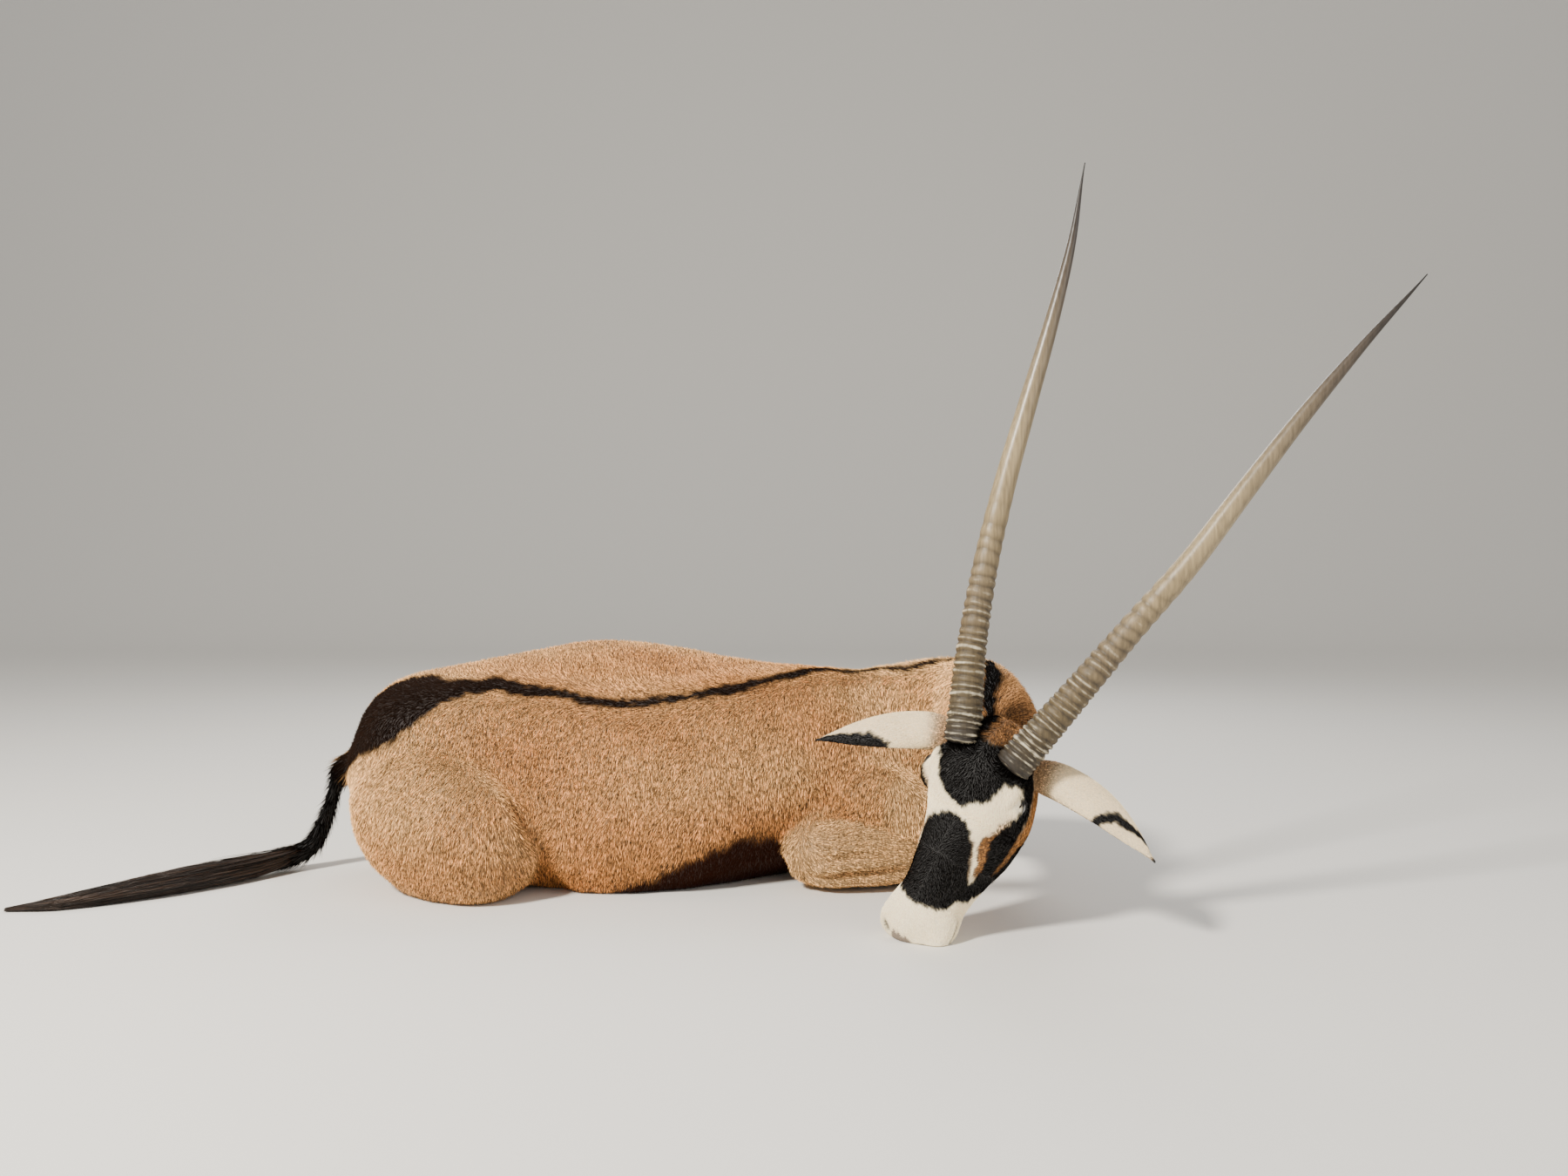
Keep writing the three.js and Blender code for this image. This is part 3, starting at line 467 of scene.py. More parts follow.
earForm = {
    "widths": [18, 29, 36, 39, 39, 35, 28, 19, 10, 2.5],
    "cup": [18, 25, 27, 26, 23, 19, 15, 11, 7, 2.2],
    "wrap": [165, 150, 122, 108, 100, 96, 94, 92, 90, 90],
    "wall": 4.0, "steps": 70, "arc": 26,
}


def earFrame(ear, t):
    centre = curveAt(ear["path"], t)
    way = tangentAt(ear["path"], t)
    opens = np.array(ear["opens"])
    opens = unit(opens - way * (way @ opens)[..., None])
    return centre, way, opens, np.cross(way, opens)


def earRings(ear):
    t = np.linspace(0, 1, earForm["steps"] + 1)
    centre, _, opens, across = earFrame(ear, t)
    w, c, wrap = (evenly(earForm[key], t)[:, None] for key in ("widths", "cup", "wrap"))
    wall = np.minimum(earForm["wall"], np.minimum(0.8 * w, 0.8 * c))
    a = np.radians(wrap) * np.linspace(-1, 1, earForm["arc"])[None]
    outside = around(centre, across, -opens, a, w, c)
    inside = around(centre, across, -opens, 0.97 * a, w - wall, c - wall)
    return np.concatenate([outside, inside[:, ::-1]], 1)


# Skin: the parts above in one mesh
skinForm = {
    "voxel": 0.0086, "relax": 10, "seamRelax": 14, "bodyDepth": 5.0, "faceDepth": 1.6, "floorGap": 1.2,
}


def edgesOf(mesh):
    edges = np.empty(len(mesh.edges) * 2, int)
    mesh.edges.foreach_get("vertices", edges)
    return edges.reshape(-1, 2)


def relax(points, edges, weight, times):
    a, b = edges[:, 0], edges[:, 1]
    ends = np.concatenate([a, b])
    count = np.maximum(np.bincount(ends, minlength=len(points)), 1)
    for _ in range(times):
        others = np.concatenate([points[b], points[a]])
        mean = np.column_stack([np.bincount(ends, column, len(points)) / count for column in others.T])
        points = points + weight[:, None] * (mean - points)
    return points


def joined(parts):
    points, faces, start = [], [], 0
    for p, f in parts:
        points.append(p)
        faces += [[v + start for v in face] for face in f]
        start += len(p)
    return np.vstack(points), faces


def treeOf(part):
    return BVHTree.FromPolygons(part[0].tolist(), part[1])


def nearestDistance(tree, points, limit=60.0):
    found = np.full(len(points), limit)
    for i, p in enumerate(points.tolist()):
        hit = tree.find_nearest(p, limit)
        if hit[3] is not None:
            found[i] = hit[3]
    return found


def makeSkin():
    trunk = joined([loft(trunkRings()), loft(lengthRings(breastRows))])
    legs = {name: joined([loft(lengthRings(rows)) for rows in rowsOf]) for name, rowsOf in legPaths.items()}
    tail = loft(lengthRings(tailStalk, 60, 28))
    ears = {"ear" + side.capitalize(): loft(earRings(ear)) for side, ear in earPaths.items()}
    parts = {"trunk": trunk, "head": headSkin(), "tail": tail, **ears, **legs}

    points, faces = joined([trunk, tail, *legs.values()])
    body = newObject("bodySkin", toModel(points), faces)
    turnOutwards(body)
    remesh = body.modifiers.new("remesh", "REMESH")
    remesh.mode = "VOXEL"
    remesh.voxel_size = skinForm["voxel"]
    mesh = applied(body).data
    points = pointsOf(mesh)
    setPoints(mesh, relax(points, edgesOf(mesh), np.full(len(points), 0.5), skinForm["relax"]))
    print("body remeshed:", len(mesh.polygons))

    for name in ("head", *ears):
        piece = newObject(name + "Skin", toModel(parts[name][0]), parts[name][1])
        turnOutwards(piece)
        union = body.modifiers.new("union", "BOOLEAN")
        union.operation = "UNION"
        union.solver = "MANIFOLD"
        union.object = piece
        applied(body)
        bpy.data.objects.remove(piece)
        print("joined, faces now", len(body.data.polygons))
    return body, parts


skin, parts = makeSkin()
partNames = list(parts)
near = fromModel(pointsOf(skin.data))
near = np.column_stack([nearestDistance(treeOf(parts[name]), near) for name in partNames])
print("parts found")


def colour(hexCode):
    channels = np.array([int(hexCode[i:i + 2], 16) for i in (1, 3, 5)]) / 255
    return np.where(channels <= 0.04045, channels / 12.92, ((channels + 0.055) / 1.055) ** 2.4)


def opaque(hexCode):
    return (*colour(hexCode), 1)


# Hair colours, linear from their sRGB codes: the markings, with sunlitFawn as painted sunlight and the
# darker flank fawn as painted shade low on the flank, which is also the base colour of the legs
hair = {
    "fawn": "#cb9058", "paleFawn": "#deae74", "legAndShadedFlankFawn": "#b97c43", "belly": "#e6d6bd", "white": "#fff1cf",
    "black": "#060403", "stripe": "#1d120c", "brown": "#7a5330", "tawny": "#a97541", "earCream": "#f3dfb8",
    "sunlitFawn": "#f0c488", "nape": "#8f653e", "flankDark": "#2e170e", "nosePad": "#a08578",
}
hair = {name: colour(code) for name, code in hair.items()}


def ripple(points, size, seed):
    draw = np.random.default_rng(seed)
    total = np.zeros(len(points))
    for _ in range(6):
        way = unit(draw.normal(size=3)) * (2 * np.pi / size) * draw.uniform(0.6, 1.6)
        total += np.sin(points @ way + draw.uniform(0, 6.28))
    return total / 2.4


def covered(shade, points):
    return np.tile(hair[shade], (len(points), 1))


def paint(base, shade, mask):
    shade = hair[shade] if isinstance(shade, str) else shade
    return base + (shade - base) * np.clip(np.broadcast_to(mask, len(base)), 0, 1)[:, None]


def edge(value, soft):
    return smoothStep(value, -soft, soft)


def within(x, low, lowEnd, high, highEnd):
    return smoothStep(x, low, lowEnd) * (1 - smoothStep(x, high, highEnd))


def rowDots(a, b):
    return np.einsum("ij,ij->i", a, b)


def nearestOn(samples, points):
    best = np.empty(len(points), int)
    for i in range(0, len(points), 20000):
        part = points[i:i + 20000]
        gap = (part ** 2).sum(1)[:, None] - 2 * part @ samples.T + (samples ** 2).sum(1)
        best[i:i + 20000] = gap.argmin(1)
    return best


# Dorsal stripe: for each share of trunk and neck, its middle and half its width in degrees round the body.
# Then the edges of the dark flank band and the throat line.
stripeForm = {
    "t": [0.0, 0.05, 0.09, 0.124, 0.148, 0.173, 0.194, 0.219, 0.242, 0.272, 0.298, 0.324, 0.35, 0.374, 0.416,
          0.466, 0.516, 0.62, 0.646, 0.675, 0.715, 0.736, 0.787, 0.857, 0.903, 1.0],
    "middle": [14, 14, 14, 18, 17, 21, 26, 21, 17.5, 10.5, 4, 2, 2, 4.5, 4, 6.5, 11, 6, -4, -13, -13, -9, -6,
               -20, -35, -30],
    "half": [34, 34, 33, 22, 12, 9, 8, 7, 5, 4.5, 3.2, 3, 3.6, 3.5, 4, 3.6, 4, 4.5, 4.5, 5, 5, 4.5, 5,
             12, 9, 5],
    "flankTop": [(0.1, 118), (0.26, 106), (0.3, 93), (0.33, 87), (0.36, 81), (0.39, 78), (0.42, 80),
                 (0.45, 87), (0.5, 106), (0.54, 118)],
    "flankFoot": 138, "throat": 168,
}
# Edges of the face markings: places along the head and half angles from its midline in degrees, and for the
# muzzle the other way round
maskForm = {
    "patchMiddle": [(-40, 0), (30, -3), (72, -3.5), (86, -6), (99, 3)],
    "patch": [(-40, 40), (0, 44), (15, 44), (31, 38), (50, 33.5), (72, 25.5), (85, 16.5), (93, 8), (99, 0)],
    "nose": [(112, 0), (115, 9), (125, 20), (139, 29), (150, 35), (161, 40), (178, 50), (189, 57), (197, 68),
             (206, 100)],
    "stripeTop": [(-30, 44), (9, 56), (25, 54), (41, 55), (59, 57), (73, 54), (93, 50), (111, 49), (121, 47),
                  (143, 54), (168, 66), (193, 76), (200, 72), (207, 60)],
    "stripeFoot": [(-30, 62), (12, 78), (41, 77), (60, 76), (75, 74), (90, 74), (114, 83), (140, 90),
                   (164, 94), (185, 104), (215, 128)],
    "jawTop": [(-60, 128), (20, 122), (60, 114), (95, 104), (115, 95), (125, 97), (150, 98), (168, 97),
               (200, 100)],
    "jawFoot": [(-60, 150), (20, 150), (90, 150), (140, 150), (175, 140), (215, 128)],
    "muzzle": [(0, 266), (24, 262), (42, 259), (62, 252), (72, 233), (99, 226), (106, 214), (120, 204),
               (180, 200)],
    "tan": [(100, 0), (112, 3), (124, 9), (140, 12), (185, 10), (198, 0)],
}


def headSpot(points):
    places = twisted(intoHead(points), -1)
    n = places[:, 0]
    fine = np.linspace(0, 1, 600)
    middles = evenly((headRows[:, 1] + headRows[:, 2]) / 2, fine)
    middle = np.interp(n, evenly(headRows[:, 0], fine), middles)
    shift = 8 * smoothStep(n, 30, 90) * (1 - 0.5 * smoothStep(n, 200, 260))
    return n, np.degrees(np.arctan2(places[:, 1] - shift, places[:, 2] - middle)), places


def hornCollars(points, places):
    n, l, d = places.T
    black = edge(11 - np.abs(l + 19) + ripple(points, 12, 16), 2) * edge(-n - 2, 4) * edge(d + 70, 6)
    for root in hornRoots:
        gap = np.hypot(n - hornForm["seat"], l - root) + 2 * ripple(points, 12, 15)
        black = np.maximum(black, edge(45 - gap, 2.5) * edge(n + 20, 6) * edge(d + 60, 8))
    return black


def headBlack(points, n, a, offMiddle, places):
    def lineOf(name):
        return along(maskForm[name], n)
    stripe = edge(a - lineOf("stripeTop"), 2) * edge(lineOf("stripeFoot") - a, 2) * smoothStep(n, -30, -10)
    jaw = edge(a - lineOf("jawTop"), 3) * edge(lineOf("jawFoot") - a, 3)
    patch = edge(lineOf("patch") - offMiddle, 2) * edge(99 - n, 2) * smoothStep(n, -20, -12)
    nose = edge(lineOf("nose") - a, 2.2) * edge(n - 113, 2)
    chin = smoothStep(n, 196, 206) * edge(128 - a, 4)
    muzzle = edge(n - along(maskForm["muzzle"], a), 2.5)
    return np.maximum.reduce([stripe, jaw, patch, hornCollars(points, places), nose, chin]) * (1 - muzzle)


def headColour(points):
    n, angle, places = headSpot(points)
    n = n + 1.6 * ripple(points, 14, 3)
    wander = 1.3 * ripple(points, 12, 4)
    a = np.abs(angle) + wander
    shade = covered("white", points)
    behind = edge(a - along(maskForm["stripeFoot"], n), 3)
    shade = paint(shade, "tawny", behind * (1 - smoothStep(n, 150, 190)))
    shade = paint(shade, "belly", edge(a - along(maskForm["jawFoot"], n), 6))
    shade = paint(shade, "nape", edge(-n - 12, 7) * (1 - edge(a - 118, 8)))
    underStripe = a - along(maskForm["stripeTop"], n)
    fringe = edge(underStripe + along(maskForm["tan"], n), 1.6) * smoothStep(n, 98, 108)
    fringe = np.maximum(fringe, 0.6 * edge(underStripe + 6, 3) * smoothStep(n, 60, 96))
    shade = paint(shade, "tawny", fringe * (1 - smoothStep(n, 178, 194)))
    rim = hump(a, along(maskForm["nose"], n), 4) * within(n, 128, 145, 185, 200)
    shade = paint(shade, "brown", 0.8 * rim)
    offMiddle = np.abs(angle - along(maskForm["patchMiddle"], n)) + wander
    shade = paint(shade, "black", headBlack(points, n, a, offMiddle, places))
    l, d = places[:, 1], places[:, 2]
    pad = edge(n - 322 - 0.10 * (d + 60), 5) * edge(20 - np.abs(l), 5) * edge(d + 84, 3)
    # Painted shade: black in the carved nostril slits and along the crease of the mouth
    nostril = hump(n, 324, 10) * hump(np.abs(l), 36, 9) * hump(d, -62, 5.5)
    mouth = hump(d, along(headForm["mouth"], n), 1.8) * smoothStep(n, 252, 262)
    shade = paint(shade, "nosePad", 0.75 * pad)
    return paint(shade, "black", np.maximum(0.9 * nostril, 0.75 * mouth)), n, angle, places, pad


def earColour(points, ear, normals):
    samples = np.linspace(0, 1, 300)
    centre, ways, opens, across = earFrame(ear, samples)
    k = nearestOn(centre, points)
    t, off = samples[k], points - centre[k]
    aside, depth = rowDots(off, across[k]), rowDots(off, opens[k])
    shade = paint(covered("earCream", points), "fawn", 0.7 * (1 - smoothStep(t, 0.12, 0.3)))
    inner = smoothStep(rowDots(normals, opens[k]), -0.1, 0.5)
    shade = paint(shade, "tawny", 0.5 * inner * smoothStep(t, 0.1, 0.3))
    share = aside / evenly(earForm["widths"], t) + 0.08 * ripple(points, 14, 17)
    wedge = edge(share - along(ear["wedgeFoot"], t), 0.07) * edge(along(ear["wedgeTop"], t) - share, 0.07)
    shade = paint(shade, "black", np.maximum(wedge, smoothStep(t, 0.95, 0.98)))
    return shade, ways[k], t, aside + 0.5 * depth


def breastShare(points, t):
    return smoothStep(points[:, 0], 430, 480) * (1 - smoothStep(points[:, 2], 215, 260)) * (t > 0.7)


def dorsalStripe(points, t, angle):
    middle, half = (np.interp(t, stripeForm["t"], stripeForm[key]) for key in ("middle", "half"))
    half = half * (1 + within(t, 0.19, 0.26, 0.5, 0.6) * (0.1 + 0.28 * ripple(points, 110, 19)))
    off = np.abs(angle - middle) + 1.4 * ripple(points, 16, 7) + 0.8 * ripple(points, 40, 18)
    return edge(half - off, 1.6)


def trunkColour(points, t, angle):
    a = np.abs(angle) + 2.0 * ripple(points, 60, 5)
    breast = breastShare(points, t)
    pale = 0.4 + 0.3 * ripple(points, 260, 6) + 0.6 * (1 - smoothStep(t, 0.1, 0.25))
    shade = paint(covered("fawn", points), "paleFawn", pale)
    # Painted shade: the lower flank is darkened with the darker flank fawn
    flank = smoothStep(a, 55, 100) * smoothStep(t, 0.16, 0.26) * (1 - breast)
    shade = paint(shade, "legAndShadedFlankFawn", 0.85 * flank)
    # Painted sunlight on the shoulder, the lower neck and the breast
    paintedSunlight = within(t, 0.5, 0.64, 0.76, 0.84) * (1 - smoothStep(a, 120, 160))
    shade = paint(shade, "sunlitFawn", 0.75 * np.maximum(paintedSunlight, breast))
    shade = paint(shade, "nape", 0.85 * smoothStep(t, 0.78, 0.9) * (1 - smoothStep(a, 40, 100)))
    foot = stripeForm["flankFoot"]
    shade = paint(shade, "belly", edge(a - foot, 3) * within(t, 0.09, 0.14, 0.5, 0.56))
    top = np.where(angle < 0, along(stripeForm["flankTop"], t), 118)
    shade = paint(shade, "flankDark", edge(a - top, 3) * edge(foot - a, 3) * within(t, 0.1, 0.14, 0.5, 0.54))
    throat = edge(a - stripeForm["throat"], 3) * smoothStep(t, 0.66, 0.72) * (1 - breast)
    shade = paint(shade, "black", throat)
    stripe = paint(covered("stripe", points), "black", smoothStep(t, 0.7, 0.8))
    return paint(shade, stripe, dorsalStripe(points, t, angle))


def trunkLie(points, t, angle, way, back, left):
    off = angle - np.interp(t, stripeForm["t"], stripeForm["middle"])
    turn = np.radians(angle)[:, None]
    down = np.sign(off)[:, None] * (left * np.cos(turn) - back * np.sin(turn))
    ridge = (1 - smoothStep(np.abs(off), 4, 26))[:, None]
    lie = unit(down * (1 - 0.75 * ridge) - way * (0.2 + 0.8 * ridge))
    calm = within(t, 0.44, 0.52, 0.68, 0.78) * (1 - smoothStep(angle, -50, -15))
    calm = np.maximum(calm, breastShare(points, t))[:, None]
    return unit(lie * (1 - calm) + unit(np.array([-0.25, 0, -1])) * calm)


def trunkSpot(points):
    t = np.linspace(0, 1, 1200)
    centre, way, back, left = trunkFrame(t)
    k = nearestOn(centre, points)
    off = points - centre[k]
    angle = np.degrees(np.arctan2(rowDots(off, left[k]), rowDots(off, back[k])))
    return t[k], angle, way[k], back[k], left[k]


def limbSpot(points, rowsOf, samples=80):
    t = np.linspace(0, 1, samples)
    paths = [np.array(rows, float)[:, :3] for rows in rowsOf]
    centres = np.vstack([curveAt(path, t) for path in paths])
    ways = np.vstack([tangentAt(path, t) for path in paths])
    k = nearestOn(centres, points)
    return k // samples + t[k % samples], points - centres[k], ways[k]


def limbColour(points, name):
    run, off, way = limbSpot(points, legPaths[name])
    place = run + 0.03 * ripple(points, 40, 8)
    form = coatForm["hind" if name.startswith("hind") else "fore"]
    pale = form["pale"] + 0.3 * ripple(points, 200, 9) + 0.3 * smoothStep(place, 1.0, 1.3)
    shade = paint(covered("legAndShadedFlankFawn", points), "paleFawn", pale)
    # Painted sunlight on the forelegs, none on the hind legs
    shade = paint(shade, "sunlitFawn", form["sunlit"])
    for tone, soft in (("black", 0.04), ("white", 0.03)):
        shade = paint(shade, tone, smoothStep(place, form[tone] - soft, form[tone] + soft))
    ahead = rowDots(unit(off), unit(np.cross(way, np.cross(sky, way))))
    mark = smoothStep(ahead, 0.35, 0.7) * within(place, 2.05, 2.15, 2.75, 2.85)
    return paint(shade, "black", mark), way, place


# Coat: lengths of the hair in millimetres, how far the tufts lift, stray and clump, and their gap to the
# floor in metres. For the legs, how pale they are, how much painted sunlight they carry and after how many
# folded lengths black and white begin.
coatForm = {
    "bodyHair": 12.5, "neckHair": 16.0, "faceHair": 5.0, "earHair": 4.5, "legHair": 8.0, "tailHair": 30.0,
    "hornHair": 11.0, "lift": 0.3, "unruly": 0.17, "clumping": 0.5, "floorGap": 0.0004,
    "hind": {"pale": 0.45, "sunlit": 0, "black": 1.18, "white": 1.55},
    "fore": {"pale": 0.85, "sunlit": 0.2, "black": 1.72, "white": 1.95},
}


def dressTrunk(points):
    t, angle, way, back, left = trunkSpot(points)
    extra = coatForm["neckHair"] - coatForm["bodyHair"]
    stretch = np.select([t < 0.2, t < 0.34, t < 0.5, t < 0.66], [0, 1, 2, 3], 4)
    return {
        "shade": trunkColour(points, t, angle), "lie": trunkLie(points, t, angle, way, back, left),
        "length": coatForm["bodyHair"] + extra * smoothStep(t, 0.6, 0.72),
        "chart": np.column_stack([0.02 + 0.96 * t, 0.02 + 0.46 * (angle / 360 + 0.5)]),
        "piece": stretch + np.where(angle > 20, 5, 0),
        "density": np.where(np.abs(angle) > 100, 0.5, 1.0) * np.where(angle > 60, 0.75, 1.0),
        "bare": np.zeros(len(points)), "raised": np.zeros(len(points)),
    }


def dressLegs(coat, points, part):
    for k, name in enumerate(legPaths):
        mine = part == name
        spots = points[mine]
        shade, way, run = limbColour(spots, name)
        blend, turn = smoothStep(run, 0.5, 0.95)[:, None], smoothStep(run, 0.95, 1.3)[:, None]
        high = unit(spots - spots.mean(0))[:, 2]
        length = coat["length"][mine]
        coat["shade"][mine] = coat["shade"][mine] * (1 - blend) + shade * blend
        coat["lie"][mine] = unit(coat["lie"][mine] * (1 - turn) + way * turn)
        coat["length"][mine] = length + (coatForm["legHair"] - length) * smoothStep(run, 0.9, 1.5)
        coat["chart"][mine] = np.column_stack([0.34 + 0.16 * k + 0.14 * (high + 1) / 2, 0.5 + 0.16 * run])
        coat["piece"][mine] = np.where(run < 0.8, coat["piece"][mine], 10)
        coat["density"][mine] = np.where(run < 0.8, coat["density"][mine], 0.8)


def dressTail(coat, points, part):
    mine = part == "tail"
    run, _, way = limbSpot(points[mine], [tailStalk])
    coat["shade"][mine] = paint(coat["shade"][mine], "black", smoothStep(run, 0.02, 0.16))
    coat["lie"][mine] = way
    coat["length"][mine] = coatForm["tailHair"]
    coat["piece"][mine] = 10
    coat["chart"][mine] = np.column_stack([0.02 + 0.1 * run, 0.9 + 0 * run])


def dressEars(coat, points, normals, part):
    for k, (side, ear) in enumerate(earPaths.items()):
        mine = part == "ear" + side.capitalize()
        coat["shade"][mine], coat["lie"][mine], t, across = earColour(points[mine], ear, normals[mine])
        coat["length"][mine] = coatForm["earHair"]
        coat["chart"][mine] = np.column_stack([0.02 + 0.14 * t, 0.76 + 0.07 * k + 0.0009 * across])
        coat["piece"][mine] = 12


def dressHead(coat, points, part):
    mine = part == "head"
    coat["shade"][mine], n, angle, places, pad = headColour(points[mine])
    flow = np.where((n >= 104) & (n < 178), -1.0, 1.0)[:, None]
    lie = unit(toNose * flow + np.sign(angle)[:, None] * toLeft * 0.5)
    length = coatForm["faceHair"] - 1.5 * smoothStep(n, 230, 280) + 3 * (1 - smoothStep(n, -30, 20))
    ahead = hornForm["seat"] - places[:, 0]
    for root in hornRoots:
        aside = root - places[:, 1]
        wraps = hump(np.hypot(ahead, aside) - 27, 0, 12) * edge(places[:, 2] + 40, 8)
        length += coatForm["hornHair"] * wraps
        coat["raised"][mine] += wraps
        inward = unit(ahead[:, None] * toNose + aside[:, None] * toLeft)
        lie = unit(lie * (1 - wraps)[:, None] + 1.6 * inward * wraps[:, None])
    coat["lie"][mine], coat["length"][mine], coat["density"][mine] = lie, length, 1
    coat["chart"][mine] = np.column_stack([0.02 + 0.3 * (n + 62) / 400, 0.5 + 0.25 * (angle / 360 + 0.5)])
    coat["piece"][mine] = np.where(n < 120, 11, 12)
    eyeGap = np.minimum(*[np.linalg.norm(places - eyeAt * [1, s, 1], axis=1) for s in (1, -1)])
    coat["bare"][mine] = np.maximum(pad > 0.4, eyeGap < eyeRadius + 3.2)


def dressSkin():
    mesh = skin.data
    points, normals = fromModel(pointsOf(mesh)), normalsOf(mesh)
    part = np.array(partNames)[near.argmin(1)]
    coat = dressTrunk(points)
    dressLegs(coat, points, part)
    dressTail(coat, points, part)
    dressEars(coat, points, normals, part)
    dressHead(coat, points, part)
    lie = unit(coat["lie"] - normals * rowDots(coat["lie"], normals)[:, None])
    swirl = 0.16 * ripple(points, 120, 11)[:, None] + 0.1 * ripple(points, 45, 12)[:, None]
    lie = unit(lie + swirl * np.cross(normals, lie))
    level = coat["shade"] @ [0.2126, 0.7152, 0.0722]
    # Painted shade at the roots of the hair and on the hide: deep under fawn, slight under white and black; it
    # also sets how widely the tone of the tufts varies
    rootShadowLevel = 0.36 + 0.54 * smoothStep(level, 0.5, 0.78) + 0.54 * (1 - smoothStep(level, 0.02, 0.12))
    covers = (points[:, 2] >= 9) & (coat["bare"] <= 0.5)
    count = len(points)
    store(mesh, "coatColour", "FLOAT_COLOR", np.column_stack([coat["shade"], np.ones(count)]))
    store(mesh, "rootShadowLevel", "FLOAT", rootShadowLevel)
    store(mesh, "lie", "FLOAT_VECTOR", unit(lie + 1.3 * coat["raised"][:, None] * normals))
    store(mesh, "hairLength", "FLOAT", coat["length"] / 1000)
    store(mesh, "chart", "FLOAT_VECTOR", np.column_stack([coat["chart"], np.zeros(count)]))
    store(mesh, "coatPiece", "INT", coat["piece"].astype(np.int32))
    store(mesh, "hairDensity", "FLOAT", np.where(covers, coat["density"], 0))


# Folds of the skin: a line over it, how deep the skin sinks there (or rises, below zero) and half the width
folds = [
    {"line": [[-218, -203, 209], [-204, -212, 196], [-172, -236, 158], [-157, -232, 120], [-147, -208, 85],
              [-137, -186, 40], [-118, -168, 12]], "sink": 18, "width": 22},
    {"line": [[-64, -199, 185], [-64, -212, 148], [-63, -221, 90], [-46, -212, 42]], "sink": 5, "width": 24},
    {"line": [[40, -175, 205], [44, -205, 150], [52, -215, 90], [60, -200, 45]], "sink": 3, "width": 26},
    {"line": [[355, -200, 66], [392, -206, 68], [417, -206, 73], [447, -203, 75]], "sink": 5, "width": 8},
    {"line": [[368, -201, 49], [417, -206, 57], [443, -204, 58], [486, -197, 58], [540, -185, 64]],
     "sink": -5.5, "width": 8},
    {"line": [[333, -185, 36], [367, -194, 35], [401, -201, 39], [477, -196, 43], [525, -186, 45]],
     "sink": 7, "width": 7},
    {"line": [[358, -183, 21], [409, -191, 22], [460, -189, 25], [511, -185, 33]], "sink": -5, "width": 8},
    {"line": [[640, -445, 352], [652, -452, 344], [652, -466, 331]], "sink": 4, "width": 7},
    {"line": [[662, -452, 343], [672, -450, 340], [684, -440, 343]], "sink": 4, "width": 6},
    {"line": [[690, -220, 398], [686, -262, 380], [676, -300, 362]], "sink": 4, "width": 12},
]


def folded(points, normals):
    for fold in folds:
        line = curveAt(fold["line"], np.linspace(0, 1, 60))
        close = np.flatnonzero(np.linalg.norm(points - line.mean(0), axis=1) < 400)
        k = nearestOn(line, points[close])
        gap = np.linalg.norm(points[close] - line[k], axis=1) / fold["width"]
        fade = np.sin(np.pi * np.clip(0.08 + 0.84 * k / 59, 0, 1)) ** 0.7
        shift = -fold["sink"] * fade * (hump(gap, 0, 1) - 0.35 * hump(gap, 1.9, 0.8))
        points[close] += normals[close] * shift[:, None]
    return points


def settleSkin():
    mesh = skin.data
    points, normals, edges = fromModel(pointsOf(mesh)), normalsOf(mesh), edgesOf(mesh)
    fine = np.isin(np.array(partNames)[near.argmin(1)], ["head", "earRight", "earLeft"])
    seam = hump(near[:, partNames.index("trunk")] + near[:, partNames.index("head")], 0, 22)
    points = relax(points, edges, 0.6 * seam, skinForm["seamRelax"])
    depth = np.where(fine, skinForm["faceDepth"], skinForm["bodyDepth"]).astype(float)
    depth = relax(depth[:, None], edges, np.full(len(depth), 0.5), 6)[:, 0]
    uneven = 1.4 * ripple(points, 190, 13) + 0.6 * ripple(points, 90, 14)
    points = folded(points - normals * (depth + np.where(fine, 0, uneven))[:, None], normals)
    points[:, 2] = np.maximum(points[:, 2], skinForm["floorGap"])
    setPoints(mesh, toModel(points))
    smoothShade(mesh)


settleSkin()
dressSkin()
print("skin dressed")


# Materials
def addNode(tree, kind, settings=None, inputs=None):
    node = tree.nodes.new(kind)
    for key, value in (settings or {}).items():
        setattr(node, key, value)
    for key, value in (inputs or {}).items():
        if isinstance(value, bpy.types.NodeSocket):
            tree.links.new(value, node.inputs[key])
        else:
            node.inputs[key].default_value = value
    return node


def newMaterial(name, roughness):
    material = bpy.data.materials.new(name)
    material.use_nodes = True
    shader = material.node_tree.nodes["Principled BSDF"]
    shader.inputs["Roughness"].default_value = roughness
    return material, material.node_tree, shader


def readFrom(tree, name, output="Fac"):
    return addNode(tree, "ShaderNodeAttribute", {"attribute_name": name}).outputs[output]


def objectPlace(tree):
    return addNode(tree, "ShaderNodeTexCoord").outputs["Object"]


def maths(tree, operation, *values):
    return addNode(tree, "ShaderNodeMath", {"operation": operation}, dict(enumerate(values))).outputs[0]


def between(tree, value, low, high, first, last):
    values = dict(enumerate((value, low, high, first, last)))
    return addNode(tree, "ShaderNodeMapRange", None, values).outputs[0]


def noise(tree, place, scale, detail):
    values = {"Vector": place, "Scale": scale, "Detail": detail}
    return addNode(tree, "ShaderNodeTexNoise", None, values).outputs["Fac"]


def stretched(tree, place, scale):
    return addNode(tree, "ShaderNodeMapping", None, {"Vector": place, "Scale": scale}).outputs[0]


def mixed(tree, share, first, second):
    return addNode(tree, "ShaderNodeMix", {"data_type": "RGBA"}, {0: share, 6: first, 7: second}).outputs[2]


def scaled(tree, vector, level):
    values = {0: vector, "Scale": level}
    return addNode(tree, "ShaderNodeVectorMath", {"operation": "SCALE"}, values).outputs[0]


def roughen(tree, shader, height, distance, strength):
    values = {"Height": height, "Distance": distance, "Strength": strength}
    tree.links.new(addNode(tree, "ShaderNodeBump", None, values).outputs[0], shader.inputs["Normal"])


